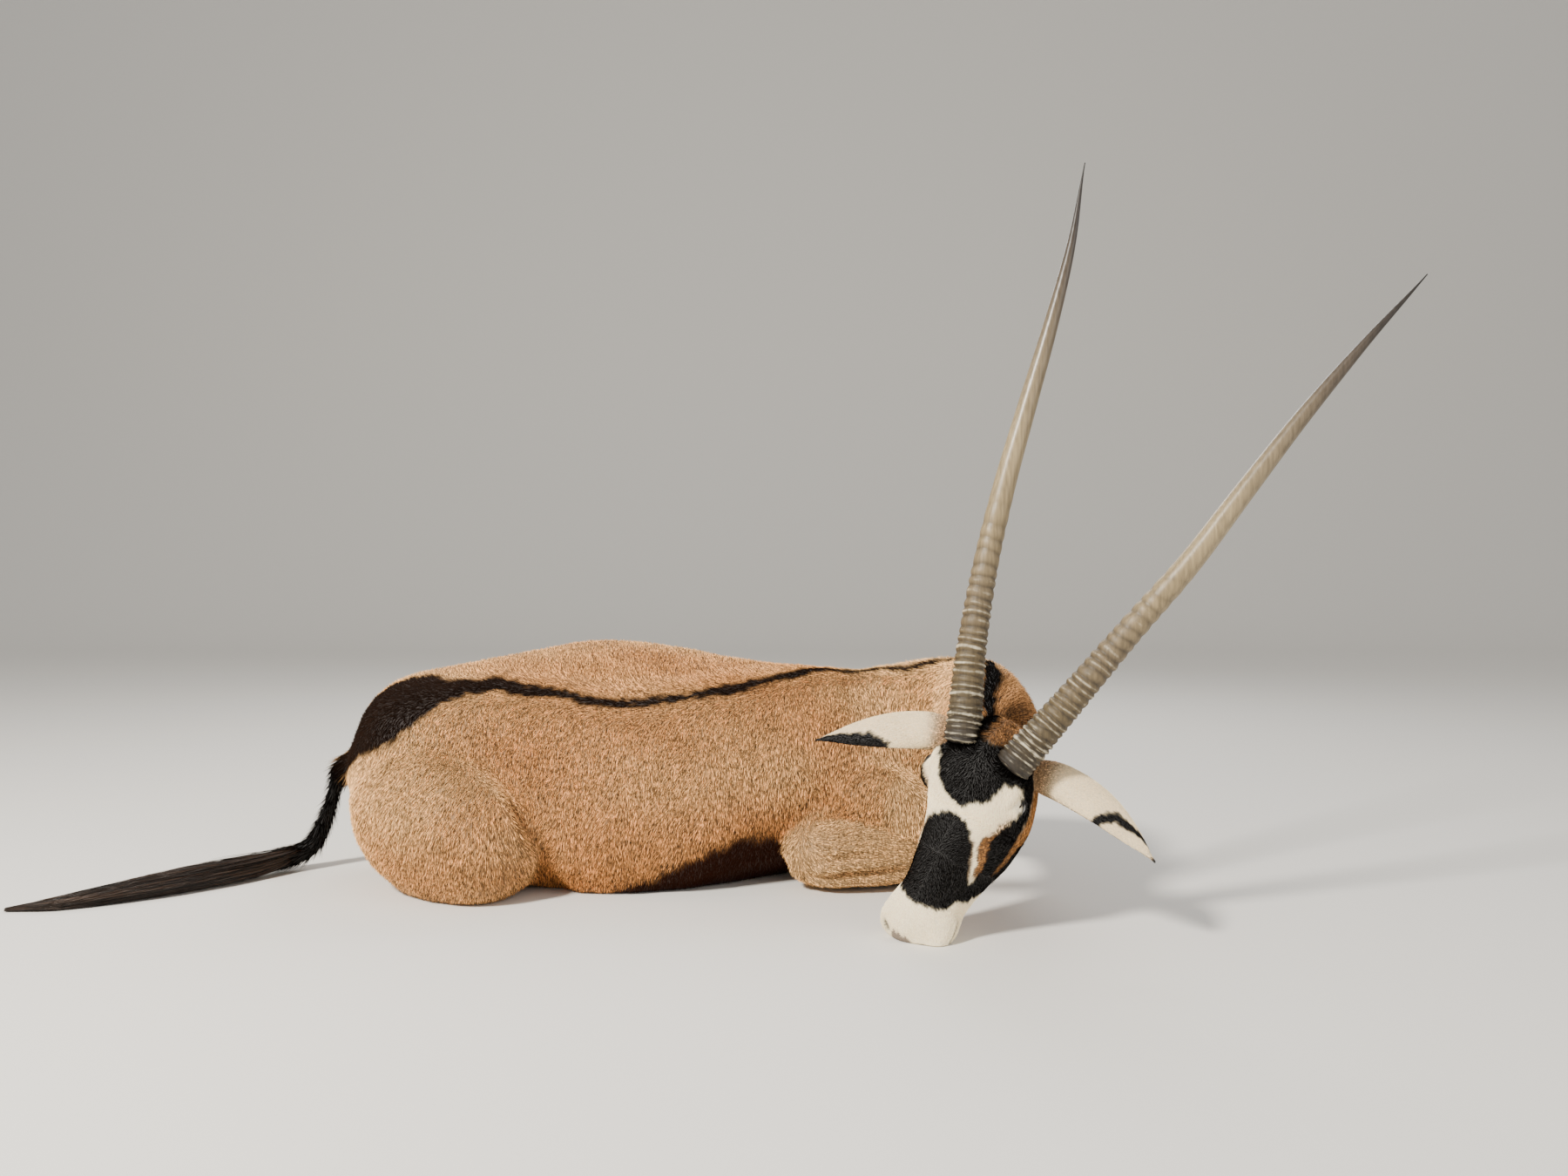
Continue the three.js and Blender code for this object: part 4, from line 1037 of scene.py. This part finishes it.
def shortHairCoat():
    # Short gemsbok hair: fine, dense and slightly waxy, so it has a soft broken gloss along the lie; painted
    # # shade darkens each tuft towards its root and it lightens to the tip
    material, tree, shader = newMaterial("shortHairCoat", 0.6)
    root, place = readFrom(tree, "rootShadowLevel"), objectPlace(tree)
    light = between(tree, readFrom(tree, "reach"), 0, 0.75, root, 1.24)
    uneven = between(tree, root, 0.4, 0.9, 1.6, 0.12)
    strand = maths(tree, "MULTIPLY_ADD", maths(tree, "SUBTRACT", readFrom(tree, "tone"), 0.5), uneven, 1)
    speckle = noise(tree, stretched(tree, place, (300, 300, 130)), 1, 1)
    speckle = between(tree, speckle, 0.3, 0.7, -0.6, 0.6)
    varied = maths(tree, "MAXIMUM", maths(tree, "MULTIPLY_ADD", speckle, uneven, strand), 0.2)
    mottle = between(tree, noise(tree, place, 14, 5), 0.3, 0.7, 0.9, 1.1)
    level = maths(tree, "MULTIPLY", maths(tree, "MULTIPLY", light, varied), mottle)
    shade = scaled(tree, readFrom(tree, "coatColour", "Color"), level)
    gloss = between(tree, readFrom(tree, "coatColour"), 0.02, 0.2, 0.02, 0.14)
    tree.links.new(shade, shader.inputs["Base Color"])
    tree.links.new(gloss, shader.inputs["Specular IOR Level"])
    return material


def bareHide():
    # Hide under the coat: the same colours with painted shade between the hairs, with the fine pebble of skin
    material, tree, shader = newMaterial("hideUnderCoat", 0.7)
    pebble = noise(tree, objectPlace(tree), 420, 3)
    mottle = between(tree, pebble, 0.25, 0.75, 0.85, 1.3)
    level = maths(tree, "MULTIPLY", mottle, readFrom(tree, "rootShadowLevel"))
    shade = scaled(tree, readFrom(tree, "coatColour", "Color"), level)
    tree.links.new(shade, shader.inputs["Base Color"])
    roughen(tree, shader, pebble, 0.0006, 0.6)
    return material


sheathTones = [
    (0.0, "#1c1610"), (0.06, "#4f432d"), (0.12, "#625338"), (0.24, "#736349"), (0.36, "#8f7d5c"),
    (0.5, "#9c8a69"), (0.64, "#807158"), (0.78, "#574c3f"), (0.9, "#352e28"), (1.0, "#1a1714"),
]


def hornSheath():
    # Sheath: grey-brown and dull where it is ringed, with painted highlights on the crests and painted shade
    # in the grooves, dark and glossy at the tip
    material, tree, shader = newMaterial("hornSheath", 0.5)
    reach, place = readFrom(tree, "reach"), objectPlace(tree)
    ramp = addNode(tree, "ShaderNodeValToRGB", None, {0: reach})
    while len(ramp.color_ramp.elements) < len(sheathTones):
        ramp.color_ramp.elements.new(0.5)
    for element, (at, code) in zip(ramp.color_ramp.elements, sheathTones):
        element.position = at
        element.color = opaque(code)
    # Painted shade in the grooves between the rings and painted highlights on their crests
    grooveShade = maths(tree, "MULTIPLY", readFrom(tree, "valley"), 0.8)
    crestHighlight = maths(tree, "MULTIPLY", readFrom(tree, "ridge"), noise(tree, place, 60, 4))
    base = mixed(tree, grooveShade, ramp.outputs[0], opaque("#241c14"))
    pale = mixed(tree, between(tree, crestHighlight, 0.3, 0.62, 0, 0.85), base, opaque("#d4c9ad"))
    streak = noise(tree, stretched(tree, place, (260, 260, 24)), 1, 6)
    shade = scaled(tree, pale, between(tree, streak, 0.3, 0.7, 0.7, 1.2))
    tree.links.new(shade, shader.inputs["Base Color"])
    tree.links.new(between(tree, reach, 0.2, 0.5, 0.6, 0.34), shader.inputs["Roughness"])
    roughen(tree, shader, streak, 0.0005, 0.5)
    return material


def hoofHorn():
    # Hoof horn: near black, scuffed and dusty, with fine growth lines round it
    material, tree, shader = newMaterial("hoofHorn", 0.45)
    scuff = noise(tree, objectPlace(tree), 90, 6)
    dusty = between(tree, scuff, 0.42, 0.7, 0, 0.8)
    tree.links.new(mixed(tree, dusty, opaque("#1d1a18"), opaque("#5d544a")), shader.inputs["Base Color"])
    lines = maths(tree, "SINE", maths(tree, "MULTIPLY_ADD", readFrom(tree, "reach"), 160, scuff))
    roughen(tree, shader, lines, 0.0004, 0.5)
    return material


def wetEye():
    # Eye: dark brown iris with a level oval pupil under a wet surface
    material, tree, shader = newMaterial("wetEye", 0.06)
    parts = addNode(tree, "ShaderNodeSeparateXYZ", None, {0: readFrom(tree, "gaze", "Vector")}).outputs
    oval = {0: maths(tree, "MULTIPLY", parts[0], 0.62), 1: parts[1]}
    oval = addNode(tree, "ShaderNodeCombineXYZ", None, oval).outputs[0]
    offPupil = addNode(tree, "ShaderNodeVectorMath", {"operation": "LENGTH"}, {0: oval}).outputs["Value"]
    iris = between(tree, offPupil, 0.26, 0.34, 0, 1)
    tree.links.new(mixed(tree, iris, opaque("#050404"), opaque("#2c1a10")), shader.inputs["Base Color"])
    shader.inputs["Coat Weight"].default_value = 1.0
    shader.inputs["Coat Roughness"].default_value = 0.02
    return material


def blackHair():
    # Long coarse hair of the tail: black with a brown cast and a clear gloss along its length
    material, tree, shader = newMaterial("longBlackHair", 0.42)
    tint = mixed(tree, readFrom(tree, "tone"), opaque("#16110e"), opaque("#4a372a"))
    shade = scaled(tree, tint, between(tree, readFrom(tree, "reach"), 0, 1, 0.8, 1.25))
    tree.links.new(shade, shader.inputs["Base Color"])
    return material


# Coat of tufts by geometry nodes
tuftSockets = {
    "Coat piece": "Int", "Tufts per square metre": "Float", "Width": "Float", "Lift": "Float",
    "Unruliness": "Float", "Clumping": "Float", "Seed": "Int", "Finish": "Material",
}


def furTree():
    tree = bpy.data.node_groups.new("hairTufts", "GeometryNodeTree")
    tree.interface.new_socket("Skin", in_out="INPUT", socket_type="NodeSocketGeometry")
    for name, kind in tuftSockets.items():
        tree.interface.new_socket(name, in_out="INPUT", socket_type="NodeSocket" + kind)
    tree.interface.new_socket("Coat", in_out="OUTPUT", socket_type="NodeSocketGeometry")
    given = addNode(tree, "NodeGroupInput").outputs

    def first(kind, settings=None, inputs=None):
        return addNode(tree, kind, settings, inputs).outputs[0]

    def named(name, kind="FLOAT"):
        node = addNode(tree, "GeometryNodeInputNamedAttribute", {"data_type": kind}, {"Name": name})
        return node.outputs["Attribute"]

    def stored(geometry, name, value, kind="FLOAT", domain="POINT"):
        return first("GeometryNodeStoreNamedAttribute", {"data_type": kind, "domain": domain},
                     {"Geometry": geometry, "Name": name, "Value": value})

    def drawn(low, high, seed):
        values = {2: low, 3: high, "Seed": seed}
        return addNode(tree, "FunctionNodeRandomValue", {"data_type": "FLOAT"}, values).outputs[1]

    def added(a, b):
        return first("ShaderNodeVectorMath", {"operation": "ADD"}, {0: a, 1: b})

    isMine = first("FunctionNodeCompare", {"data_type": "INT", "operation": "EQUAL"},
                   {2: named("coatPiece", "INT"), 3: given["Coat piece"]})
    density = maths(tree, "MULTIPLY", named("hairDensity"), given["Tufts per square metre"])
    roots = addNode(tree, "GeometryNodeDistributePointsOnFaces", {"distribute_method": "RANDOM"},
                    {"Mesh": given["Skin"], "Selection": isMine, "Density": density, "Seed": given["Seed"]})
    normal = roots.outputs["Normal"]
    points = stored(roots.outputs["Points"], "tone", drawn(0, 1, 5))

    stray = first("FunctionNodeRandomValue", {"data_type": "FLOAT_VECTOR"},
                  {"Min": (-1, -1, -1), "Max": (1, 1, 1), "Seed": given["Seed"]})
    clump = addNode(tree, "ShaderNodeTexNoise", None, {"Scale": 62, "Detail": 1}).outputs["Color"]
    way = added(named("lie", "FLOAT_VECTOR"), scaled(tree, normal, given["Lift"]))
    way = added(way, scaled(tree, added(clump, (-0.5, -0.5, -0.5)), given["Clumping"]))
    way = added(way, scaled(tree, stray, given["Unruliness"]))
    way = first("ShaderNodeVectorMath", {"operation": "NORMALIZE"}, {0: way})
    turn = first("FunctionNodeAxesToRotation", {"primary_axis": "Z", "secondary_axis": "X"},
                 {"Primary Axis": way, "Secondary Axis": normal})
    thin = maths(tree, "MULTIPLY", given["Width"], 0.55)
    length = maths(tree, "MULTIPLY", named("hairLength"), drawn(0.7, 1.25, 9))
    size = first("ShaderNodeCombineXYZ", None, {0: thin, 1: given["Width"], 2: length})

    spike = first("GeometryNodeMeshCone", {"fill_type": "NGON"},
                  {"Vertices": 3, "Side Segments": 1, "Radius Top": 0.0, "Radius Bottom": 0.5, "Depth": 1.0})
    place = addNode(tree, "ShaderNodeSeparateXYZ", None, {0: first("GeometryNodeInputPosition")}).outputs
    across = maths(tree, "MULTIPLY_ADD", place[1], 0.9, 0.5)
    spot = first("ShaderNodeCombineXYZ", None, {0: across, 1: place[2]})
    spike = stored(stored(spike, "reach", place[2]), "tuftSpot", spot, "FLOAT_VECTOR")
    spike = first("GeometryNodeTransform", None, {"Geometry": spike, "Translation": (0, 0, -0.08)})
    tufts = first("GeometryNodeInstanceOnPoints", None,
                  {"Points": points, "Instance": spike, "Rotation": turn, "Scale": size})
    tufts = first("GeometryNodeRealizeInstances", None, {"Geometry": tufts})
    spread = scaled(tree, added(named("tuftSpot", "FLOAT_VECTOR"), (-0.5, -0.5, 0)), 0.003)
    spot = added(named("chart", "FLOAT_VECTOR"), spread)
    tufts = stored(tufts, "OFBake", spot, "FLOAT2", "CORNER")
    tufts = first("GeometryNodeSetMaterial", None, {"Geometry": tufts, "Material": given["Finish"]})
    tree.links.new(tufts, addNode(tree, "NodeGroupOutput").inputs[0])
    return tree


# Tufts per square metre and widths in metres, for each piece of the coat
coatPieces = {
    "coatRumpRight": {"piece": 0, "density": 120000, "width": 0.0019},
    "coatLoinRight": {"piece": 1, "density": 140000, "width": 0.0018},
    "coatFlankRight": {"piece": 2, "density": 140000, "width": 0.0018},
    "coatShoulderRight": {"piece": 3, "density": 140000, "width": 0.0018},
    "coatNeckRight": {"piece": 4, "density": 150000, "width": 0.0018},
    "coatRumpLeft": {"piece": 5, "density": 110000, "width": 0.0021},
    "coatLoinLeft": {"piece": 6, "density": 110000, "width": 0.0021},
    "coatFlankLeft": {"piece": 7, "density": 100000, "width": 0.0021},
    "coatShoulderLeft": {"piece": 8, "density": 100000, "width": 0.0021},
    "coatNeckLeft": {"piece": 9, "density": 130000, "width": 0.0019},
    "coatLegs": {"piece": 10, "density": 110000, "width": 0.0018},
    "coatFace": {"piece": 11, "density": 330000, "width": 0.0012, "clumping": 0.3, "unruly": 0.12},
    "coatMuzzleAndEars": {"piece": 12, "density": 280000, "width": 0.0011, "clumping": 0.3, "unruly": 0.12},
}


def growCoat(name, form, tree, finish, seed):
    form = {**coatForm, **form}
    piece = bpy.data.objects.new(name, skin.data.copy())
    bpy.context.scene.collection.objects.link(piece)
    piece.data.materials.clear()
    grow = piece.modifiers.new("grow", "NODES")
    grow.node_group = tree
    sockets = {item.name: item.identifier for item in tree.interface.items_tree if item.in_out == "INPUT"}
    values = [form[key] for key in ("piece", "density", "width", "lift", "unruly", "clumping")]
    for key, value in zip(tuftSockets, values + [seed, finish]):
        grow[sockets[key]] = value
    coat = applied(piece).data
    points = pointsOf(coat)
    points[:, 2] = np.maximum(points[:, 2], coatForm["floorGap"])
    setPoints(coat, points)
    print(name, "triangles", sum(len(p.vertices) - 2 for p in coat.polygons))
    return piece


def finished(name, points, faces, finish):
    piece = newObject(name, points, faces, finish)
    turnOutwards(piece)
    smoothShade(piece.data)
    return piece


# Horns: rings with fine ridges between them low down, smooth towards the tips
def hornPath(horn, s):
    spread, rise = math.radians(horn["spread"]) * horn["side"], math.radians(horn["rise"])
    way = np.array([-math.cos(spread) * math.cos(rise), math.sin(spread), math.cos(spread) * math.sin(rise)])
    aside = np.array([math.sin(spread), math.cos(spread), 0])
    start = np.array([hornForm["seat"], horn["side"] * horn["spacing"], hornForm["seat"]])
    run = s * (hornForm["length"] + hornForm["root"]) - hornForm["root"]
    return start + way * run[:, None] + aside * evenly(horn["bow"], s)[:, None]


def hornRelief(s, a, draw):
    s = s[:, None]
    x = np.clip(s / hornForm["ringed"], 0, 1.2)
    turns = hornForm["count"] * (1.6 * x - 0.6 * x * x)
    wave = turns + hornForm["wander"] * np.sin(a + draw.uniform(0, 6)) + 0.07 * np.sin(2 * a + 1.3 * turns)
    wave = wave + 0.1 * np.sin(2.1 * turns)
    heights = draw.uniform(hornForm["lowest"], hornForm["highest"], 40)
    tall = np.interp(turns, np.arange(len(heights)) + 0.5, heights)
    ringed = np.clip(1 - (s / hornForm["ringed"]) ** 3, 0, 1)
    crest = np.abs(np.sin(np.pi * wave)) ** 1.2
    low = ringed * np.clip(1 - (s - 0.1) / 0.2, 0, 1)
    fine = np.abs(np.sin(2 * np.pi * wave + 0.9 * np.sin(3 * a + turns))) ** 1.5 * low
    grain = hornForm["grain"] * np.sin(9 * a + 3.1 * turns) * np.sin(5 * a - 2.3 * turns)
    grain = grain + 0.15 * np.sin(23 * a + 2 * turns)
    rise = tall * (hornForm["lift"] * (1.5 * crest - 0.75) + hornForm["fineLift"] * (fine - 0.4))
    ridge = np.maximum(crest ** 3, 0.8 * fine ** 4) * ringed * tall
    valley = (1 - np.maximum(crest, 0.7 * fine)) ** 1.5 * ringed
    return ringed * (rise + grain), ridge, valley


def makeHorn(name, finish):
    horn = hornForm[name]
    s = np.linspace(0, 1, hornForm["steps"])
    a = 2 * np.pi * np.arange(hornForm["sides"]) / hornForm["sides"]
    path = hornPath(horn, s)
    way = unit(np.gradient(path, axis=0))
    side = unit(np.cross(way, sky))
    relief, ridge, valley = hornRelief(s, a, np.random.default_rng(horn["seed"]))
    rounded = np.sqrt(np.clip(0.3 + s * hornForm["length"] / hornForm["rounding"], 0, 1))[:, None]
    r = (evenly(hornForm["taper"], s)[:, None] + relief) * rounded
    points, faces = loft(onHead(around(path, side, np.cross(side, way), a, r, r)))
    piece = finished("horn" + name.capitalize(), toModel(points), faces, finish)
    store(piece.data, "ridge", "FLOAT", np.append(ridge, [0, 0]))
    store(piece.data, "valley", "FLOAT", np.append(valley, [0, 0]))
    store(piece.data, "reach", "FLOAT", np.append(np.repeat(s, len(a)), [0, 1]))
    return piece


# Eyes: balls with a slight bulge to the front
eyeForm = {"rings": 48, "sides": 72, "cornea": 0.9, "corneaSpread": 0.55, "gaze": [0.12, 1, 0.22]}


def makeEye(side, finish):
    a = np.linspace(0, np.pi, eyeForm["rings"])
    b = 2 * np.pi * np.arange(eyeForm["sides"]) / eyeForm["sides"]
    out = eyeRadius + eyeForm["cornea"] * hump(a, 0, eyeForm["corneaSpread"])
    gaze = unit(np.array(eyeForm["gaze"]) * [1, side, 1])
    across = unit(np.cross(sky, gaze))
    high = np.cross(gaze, across)
    r = (out * np.sin(a))[:, None]
    places = around(gaze * (out * np.cos(a))[:, None], across[None], high[None], b, r, r)
    flat = places @ np.column_stack([across, high, gaze]) / eyeRadius
    points, faces = loft(onHead(eyeAt * [1, side, 1] + places))
    piece = finished("eyeLeft" if side > 0 else "eyeRight", toModel(points), faces, finish)
    ends = [flat[0].mean(0), flat[-1].mean(0)]
    store(piece.data, "gaze", "FLOAT_VECTOR", np.vstack([flat.reshape(-1, 3), *ends]))
    return piece


# Hooves: for each foot the place it begins at and the way it points, and the shape of its two claws
feet = {
    "hind_right": [[-170, 376, 27], [0.92, 0.38, -0.06]],
    "hind_left": [[-140, 502, 27], [0.99, 0.12, -0.06]],
    "fore_right": [[405, 33, 26], [-0.97, 0.2, -0.06]],
    "fore_left": [[420, 164, 26], [-0.97, -0.2, -0.06]],
}
clawForm = {
    "length": 92, "sunk": 22, "steps": 46, "sides": 40, "apart": 13.6, "splay": 2, "narrow": 0.8,
    "widths": [13, 16, 16.5, 15, 10, 2], "heights": [17, 20, 19, 14, 8, 2],
    "drop": [0, -2, -5, -9, -13, -17], "floorGap": 0.6,
}


def makeClaw(foot, side, finish):
    at, way = np.array(feet[foot][0], float), unit(feet[foot][1])
    out = unit(np.cross(way, sky)) * side
    high = unit(np.cross(out, way))
    high = high * np.sign(high[2])
    t = np.linspace(0, 1, clawForm["steps"])
    a = 2 * np.pi * np.arange(clawForm["sides"]) / clawForm["sides"]
    wide, tall, drop = (evenly(clawForm[key], t)[:, None] for key in ("widths", "heights", "drop"))
    centre = at + way * (t * clawForm["length"] - clawForm["sunk"])[:, None]
    centre = centre + out * (clawForm["apart"] + clawForm["splay"] * t)[:, None] + high * drop
    points, faces = loft(around(centre, out[None], high[None], a, clawForm["narrow"] * wide, tall))
    points[:, 2] = np.maximum(points[:, 2], clawForm["floorGap"])
    tag = "_inner" if side > 0 else "_outer"
    piece = finished("hoof_" + foot + tag, toModel(points), faces, finish)
    store(piece.data, "reach", "FLOAT", np.append(np.repeat(t, len(a)), [0, 1]))
    return piece


# Tail tuft: long strands that lie along the floor
tuftForm = {
    "path": [[-650, 0, 44], [-700, -48, 28], [-790, -146, 24], [-900, -236, 17], [-980, -284, 10],
             [-1060, -300, 4]],
    "spread": [20, 30, 34, 30, 20, 5], "rise": [20, 27, 26, 19, 11, 3],
    "strands": 6200, "steps": 6, "width": 2.6, "floor": 1.6, "tipWidth": 0.05, "flatness": 0.7,
    "rootsUpTo": 0.58, "shortest": 0.3, "longest": 0.5, "longShare": 0.3, "longer": 0.12, "turn": 0.5,
    "stray": 0.05, "locks": 0.12,
}


def chartStrands(mesh, charts, s):
    count, steps = len(charts), len(s)
    inside = np.column_stack([np.tile([0, 0.5, 1], count * steps), np.tile(np.repeat(s, 3), count)])
    spot = np.repeat(charts, steps * 3, 0) + 0.003 * inside
    corners = np.empty(len(mesh.loops), int)
    mesh.loops.foreach_get("vertex_index", corners)
    layer = mesh.uv_layers.new(name="OFBake")
    layer.data.foreach_set("uv", spot[corners].astype(np.float32).ravel())


def strands(name, paths, width, finish, charts, seed):
    count, steps = paths.shape[:2]
    way = unit(np.gradient(paths, axis=1))
    side = unit(np.cross(way, sky))
    high = np.cross(side, way)
    s = np.linspace(0, 1, steps)
    tip = tuftForm["tipWidth"]
    half = 0.5 * width[:, None, None] * (np.sqrt(1 - s ** 2) * (1 - tip) + tip)[None, :, None]
    rings = [paths + side * half, paths + high * half * tuftForm["flatness"], paths - side * half]
    start = 3 * np.arange(count * steps).reshape(count, steps)
    faces = []
    for k in range(3):
        a, b = start + k, start + (k + 1) % 3
        faces.append(np.stack([a[:, :-1], a[:, 1:], b[:, 1:], b[:, :-1]], -1).reshape(-1, 4))
    foot, end = start[:, 0], start[:, -1]
    caps = np.vstack([np.column_stack([foot, foot + 1, foot + 2]), np.column_stack([end + 2, end + 1, end])])
    points = np.stack(rings, 2).reshape(-1, 3)
    piece = finished(name, toModel(points), np.vstack(faces).tolist() + caps.tolist(), finish)
    draw = np.random.default_rng(seed)
    store(piece.data, "tone", "FLOAT", np.repeat(draw.random(count) ** 2, steps * 3))
    store(piece.data, "reach", "FLOAT", np.tile(np.repeat(s, 3), count))
    chartStrands(piece.data, charts, s)
    return piece


def makeTuft(finish):
    draw = np.random.default_rng(31)
    count, steps = tuftForm["strands"], tuftForm["steps"]
    start = tuftForm["rootsUpTo"] * draw.random(count) ** 0.9
    reach = np.minimum(start + draw.uniform(tuftForm["shortest"], tuftForm["longest"], count), 1)
    longer = draw.random(count) < tuftForm["longShare"]
    reach = np.where(longer, np.minimum(reach + tuftForm["longer"], 1), reach)
    f = np.linspace(0, 1, steps)
    t = start[:, None] + (reach - start)[:, None] * f
    a = draw.uniform(0, 2 * np.pi, count)[:, None]
    a = a + tuftForm["turn"] * draw.normal(size=count)[:, None] * f
    rho = np.sqrt(draw.random(count))[:, None] * np.minimum(1, 0.5 + 0.5 * f)
    rho = rho + tuftForm["stray"] * draw.normal(size=count)[:, None] * f
    flat = t.ravel()
    centre = curveAt(tuftForm["path"], flat).reshape(count, steps, 3)
    way = tangentAt(tuftForm["path"], flat).reshape(count, steps, 3)
    wide, tall = (evenly(tuftForm[key], flat).reshape(count, steps) for key in ("spread", "rise"))
    lock = 1 + tuftForm["locks"] * np.sin(5 * a + 9 * t)
    paths = centre + unit(np.cross(way, sky)) * (wide * rho * lock * np.cos(a))[..., None]
    paths[..., 2] = np.maximum(paths[..., 2] + tall * rho * lock * np.sin(a), tuftForm["floor"])
    width = tuftForm["width"] * draw.uniform(0.6, 1.2, count)
    charts = np.column_stack([0.15 + 0.15 * start, 0.92 + 0.06 * a[:, 0] / 6.3])
    return strands("tailTuft", paths, width, finish, charts, 32)


# Stage, light and camera
stageForm = {"near": -6, "bend": 7, "curve": 3, "end": 1.57, "steps": 14, "halfWidth": 14, "wallTop": 9}
lamps = {
    "keyLight": {"at": (-2.4, -3.0, 3.4), "aim": (0.1, 0, 0.3), "size": 0.7, "power": 430,
                 "tint": (1.0, 0.95, 0.87)},
    "fillLight": {"at": (3.2, -2.4, 2.2), "aim": (0.2, 0, 0.3), "size": 3.0, "power": 34,
                  "tint": (0.97, 0.98, 1.0)},
    "rimLight": {"at": (0.5, 3.0, 3.0), "aim": (0.1, 0, 0.4), "size": 2.0, "power": 60, "tint": (1, 1, 1)},
}


def softLight(name, form):
    lamp = bpy.data.lights.new(name, "AREA")
    lamp.shape = "DISK"
    lamp.size = form["size"]
    lamp.energy = form["power"]
    lamp.color = form["tint"]
    piece = bpy.data.objects.new(name, lamp)
    bpy.context.scene.collection.objects.link(piece)
    piece.location = form["at"]
    piece.rotation_euler = (Vector(form["aim"]) - Vector(form["at"])).to_track_quat("-Z", "Y").to_euler()
    return piece


def makeStage():
    # A pale studio floor that curves up into its backdrop far behind
    bend, curve, steps = (stageForm[key] for key in ("bend", "curve", "steps"))
    turn = np.linspace(0.1, stageForm["end"], steps)
    depth = np.concatenate([np.linspace(stageForm["near"], bend, steps), bend + curve * np.sin(turn)])
    high = np.concatenate([np.zeros(steps), curve - curve * np.cos(turn)])
    depth, high = np.append(depth, bend + curve), np.append(high, stageForm["wallTop"])
    wide = (-stageForm["halfWidth"], stageForm["halfWidth"])
    points = np.array([[x, y, z] for y, z in zip(depth, high) for x in wide])
    faces = [[2 * i, 2 * i + 1, 2 * i + 3, 2 * i + 2] for i in range(len(depth) - 1)]
    material, _, shader = newMaterial("paleStudioFloor", 0.85)
    shader.inputs["Base Color"].default_value = opaque("#ece9e3")
    floor = newObject("floor", points, faces, material)
    smoothShade(floor.data)
    [softLight(name, form) for name, form in lamps.items()]
    world = bpy.data.worlds.new("studio")
    world.use_nodes = True
    background = world.node_tree.nodes["Background"]
    background.inputs["Color"].default_value = opaque("#ecebe9")
    background.inputs["Strength"].default_value = 0.6
    bpy.context.scene.world = world


cameraForm = {"at": [300, -2350, 585], "lens": 27.04, "sensor": 36, "downwards": 0.551}


def makeCamera():
    camera = bpy.data.cameras.new("camera")
    camera.sensor_fit = "HORIZONTAL"
    camera.sensor_width = cameraForm["sensor"]
    camera.lens = cameraForm["lens"]
    piece = bpy.data.objects.new("camera", camera)
    bpy.context.scene.collection.objects.link(piece)
    piece.location = toModel(np.array(cameraForm["at"]))
    piece.rotation_euler = (math.radians(90 - cameraForm["downwards"]), 0, 0)
    bpy.context.scene.camera = piece


skin.data.materials.clear()
skin.data.materials.append(bareHide())
tree, short = furTree(), shortHairCoat()
coat = [growCoat(name, form, tree, short, 40 + k) for k, (name, form) in enumerate(coatPieces.items())]
print("coat grown:", sum(len(p.data.polygons) for p in coat), "faces")
sheath, claws, wet, dark = hornSheath(), hoofHorn(), wetEye(), blackHair()
horns = {name: makeHorn(name, sheath) for name in ("right", "left")}
eyes = {name: makeEye(side, wet) for name, side in (("right", -1), ("left", 1))}
tags = {"_outer": -1, "_inner": 1}
hooves = {foot + tag: makeClaw(foot, side, claws) for foot in feet for tag, side in tags.items()}
tuft = makeTuft(dark)
print("horns, eyes, hooves and tail made")

for piece in [skin, *coat, *horns.values(), *eyes.values(), *hooves.values(), tuft]:
    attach(piece, "root")
flesh = ["torso", "neck_lower", "neck_upper", "head", "ear_right", "ear_left", "tail",
         "hindleg_right", "hindleg_left", "foreleg_right", "foreleg_left"]
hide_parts(*flesh)
for name in horns:
    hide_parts("horn_" + name)
    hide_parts("eye_" + name)
for name, piece in hooves.items():
    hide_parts("hoof_" + name)
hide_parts("tail_tuft")
makeStage()
makeCamera()
print("scene finished")
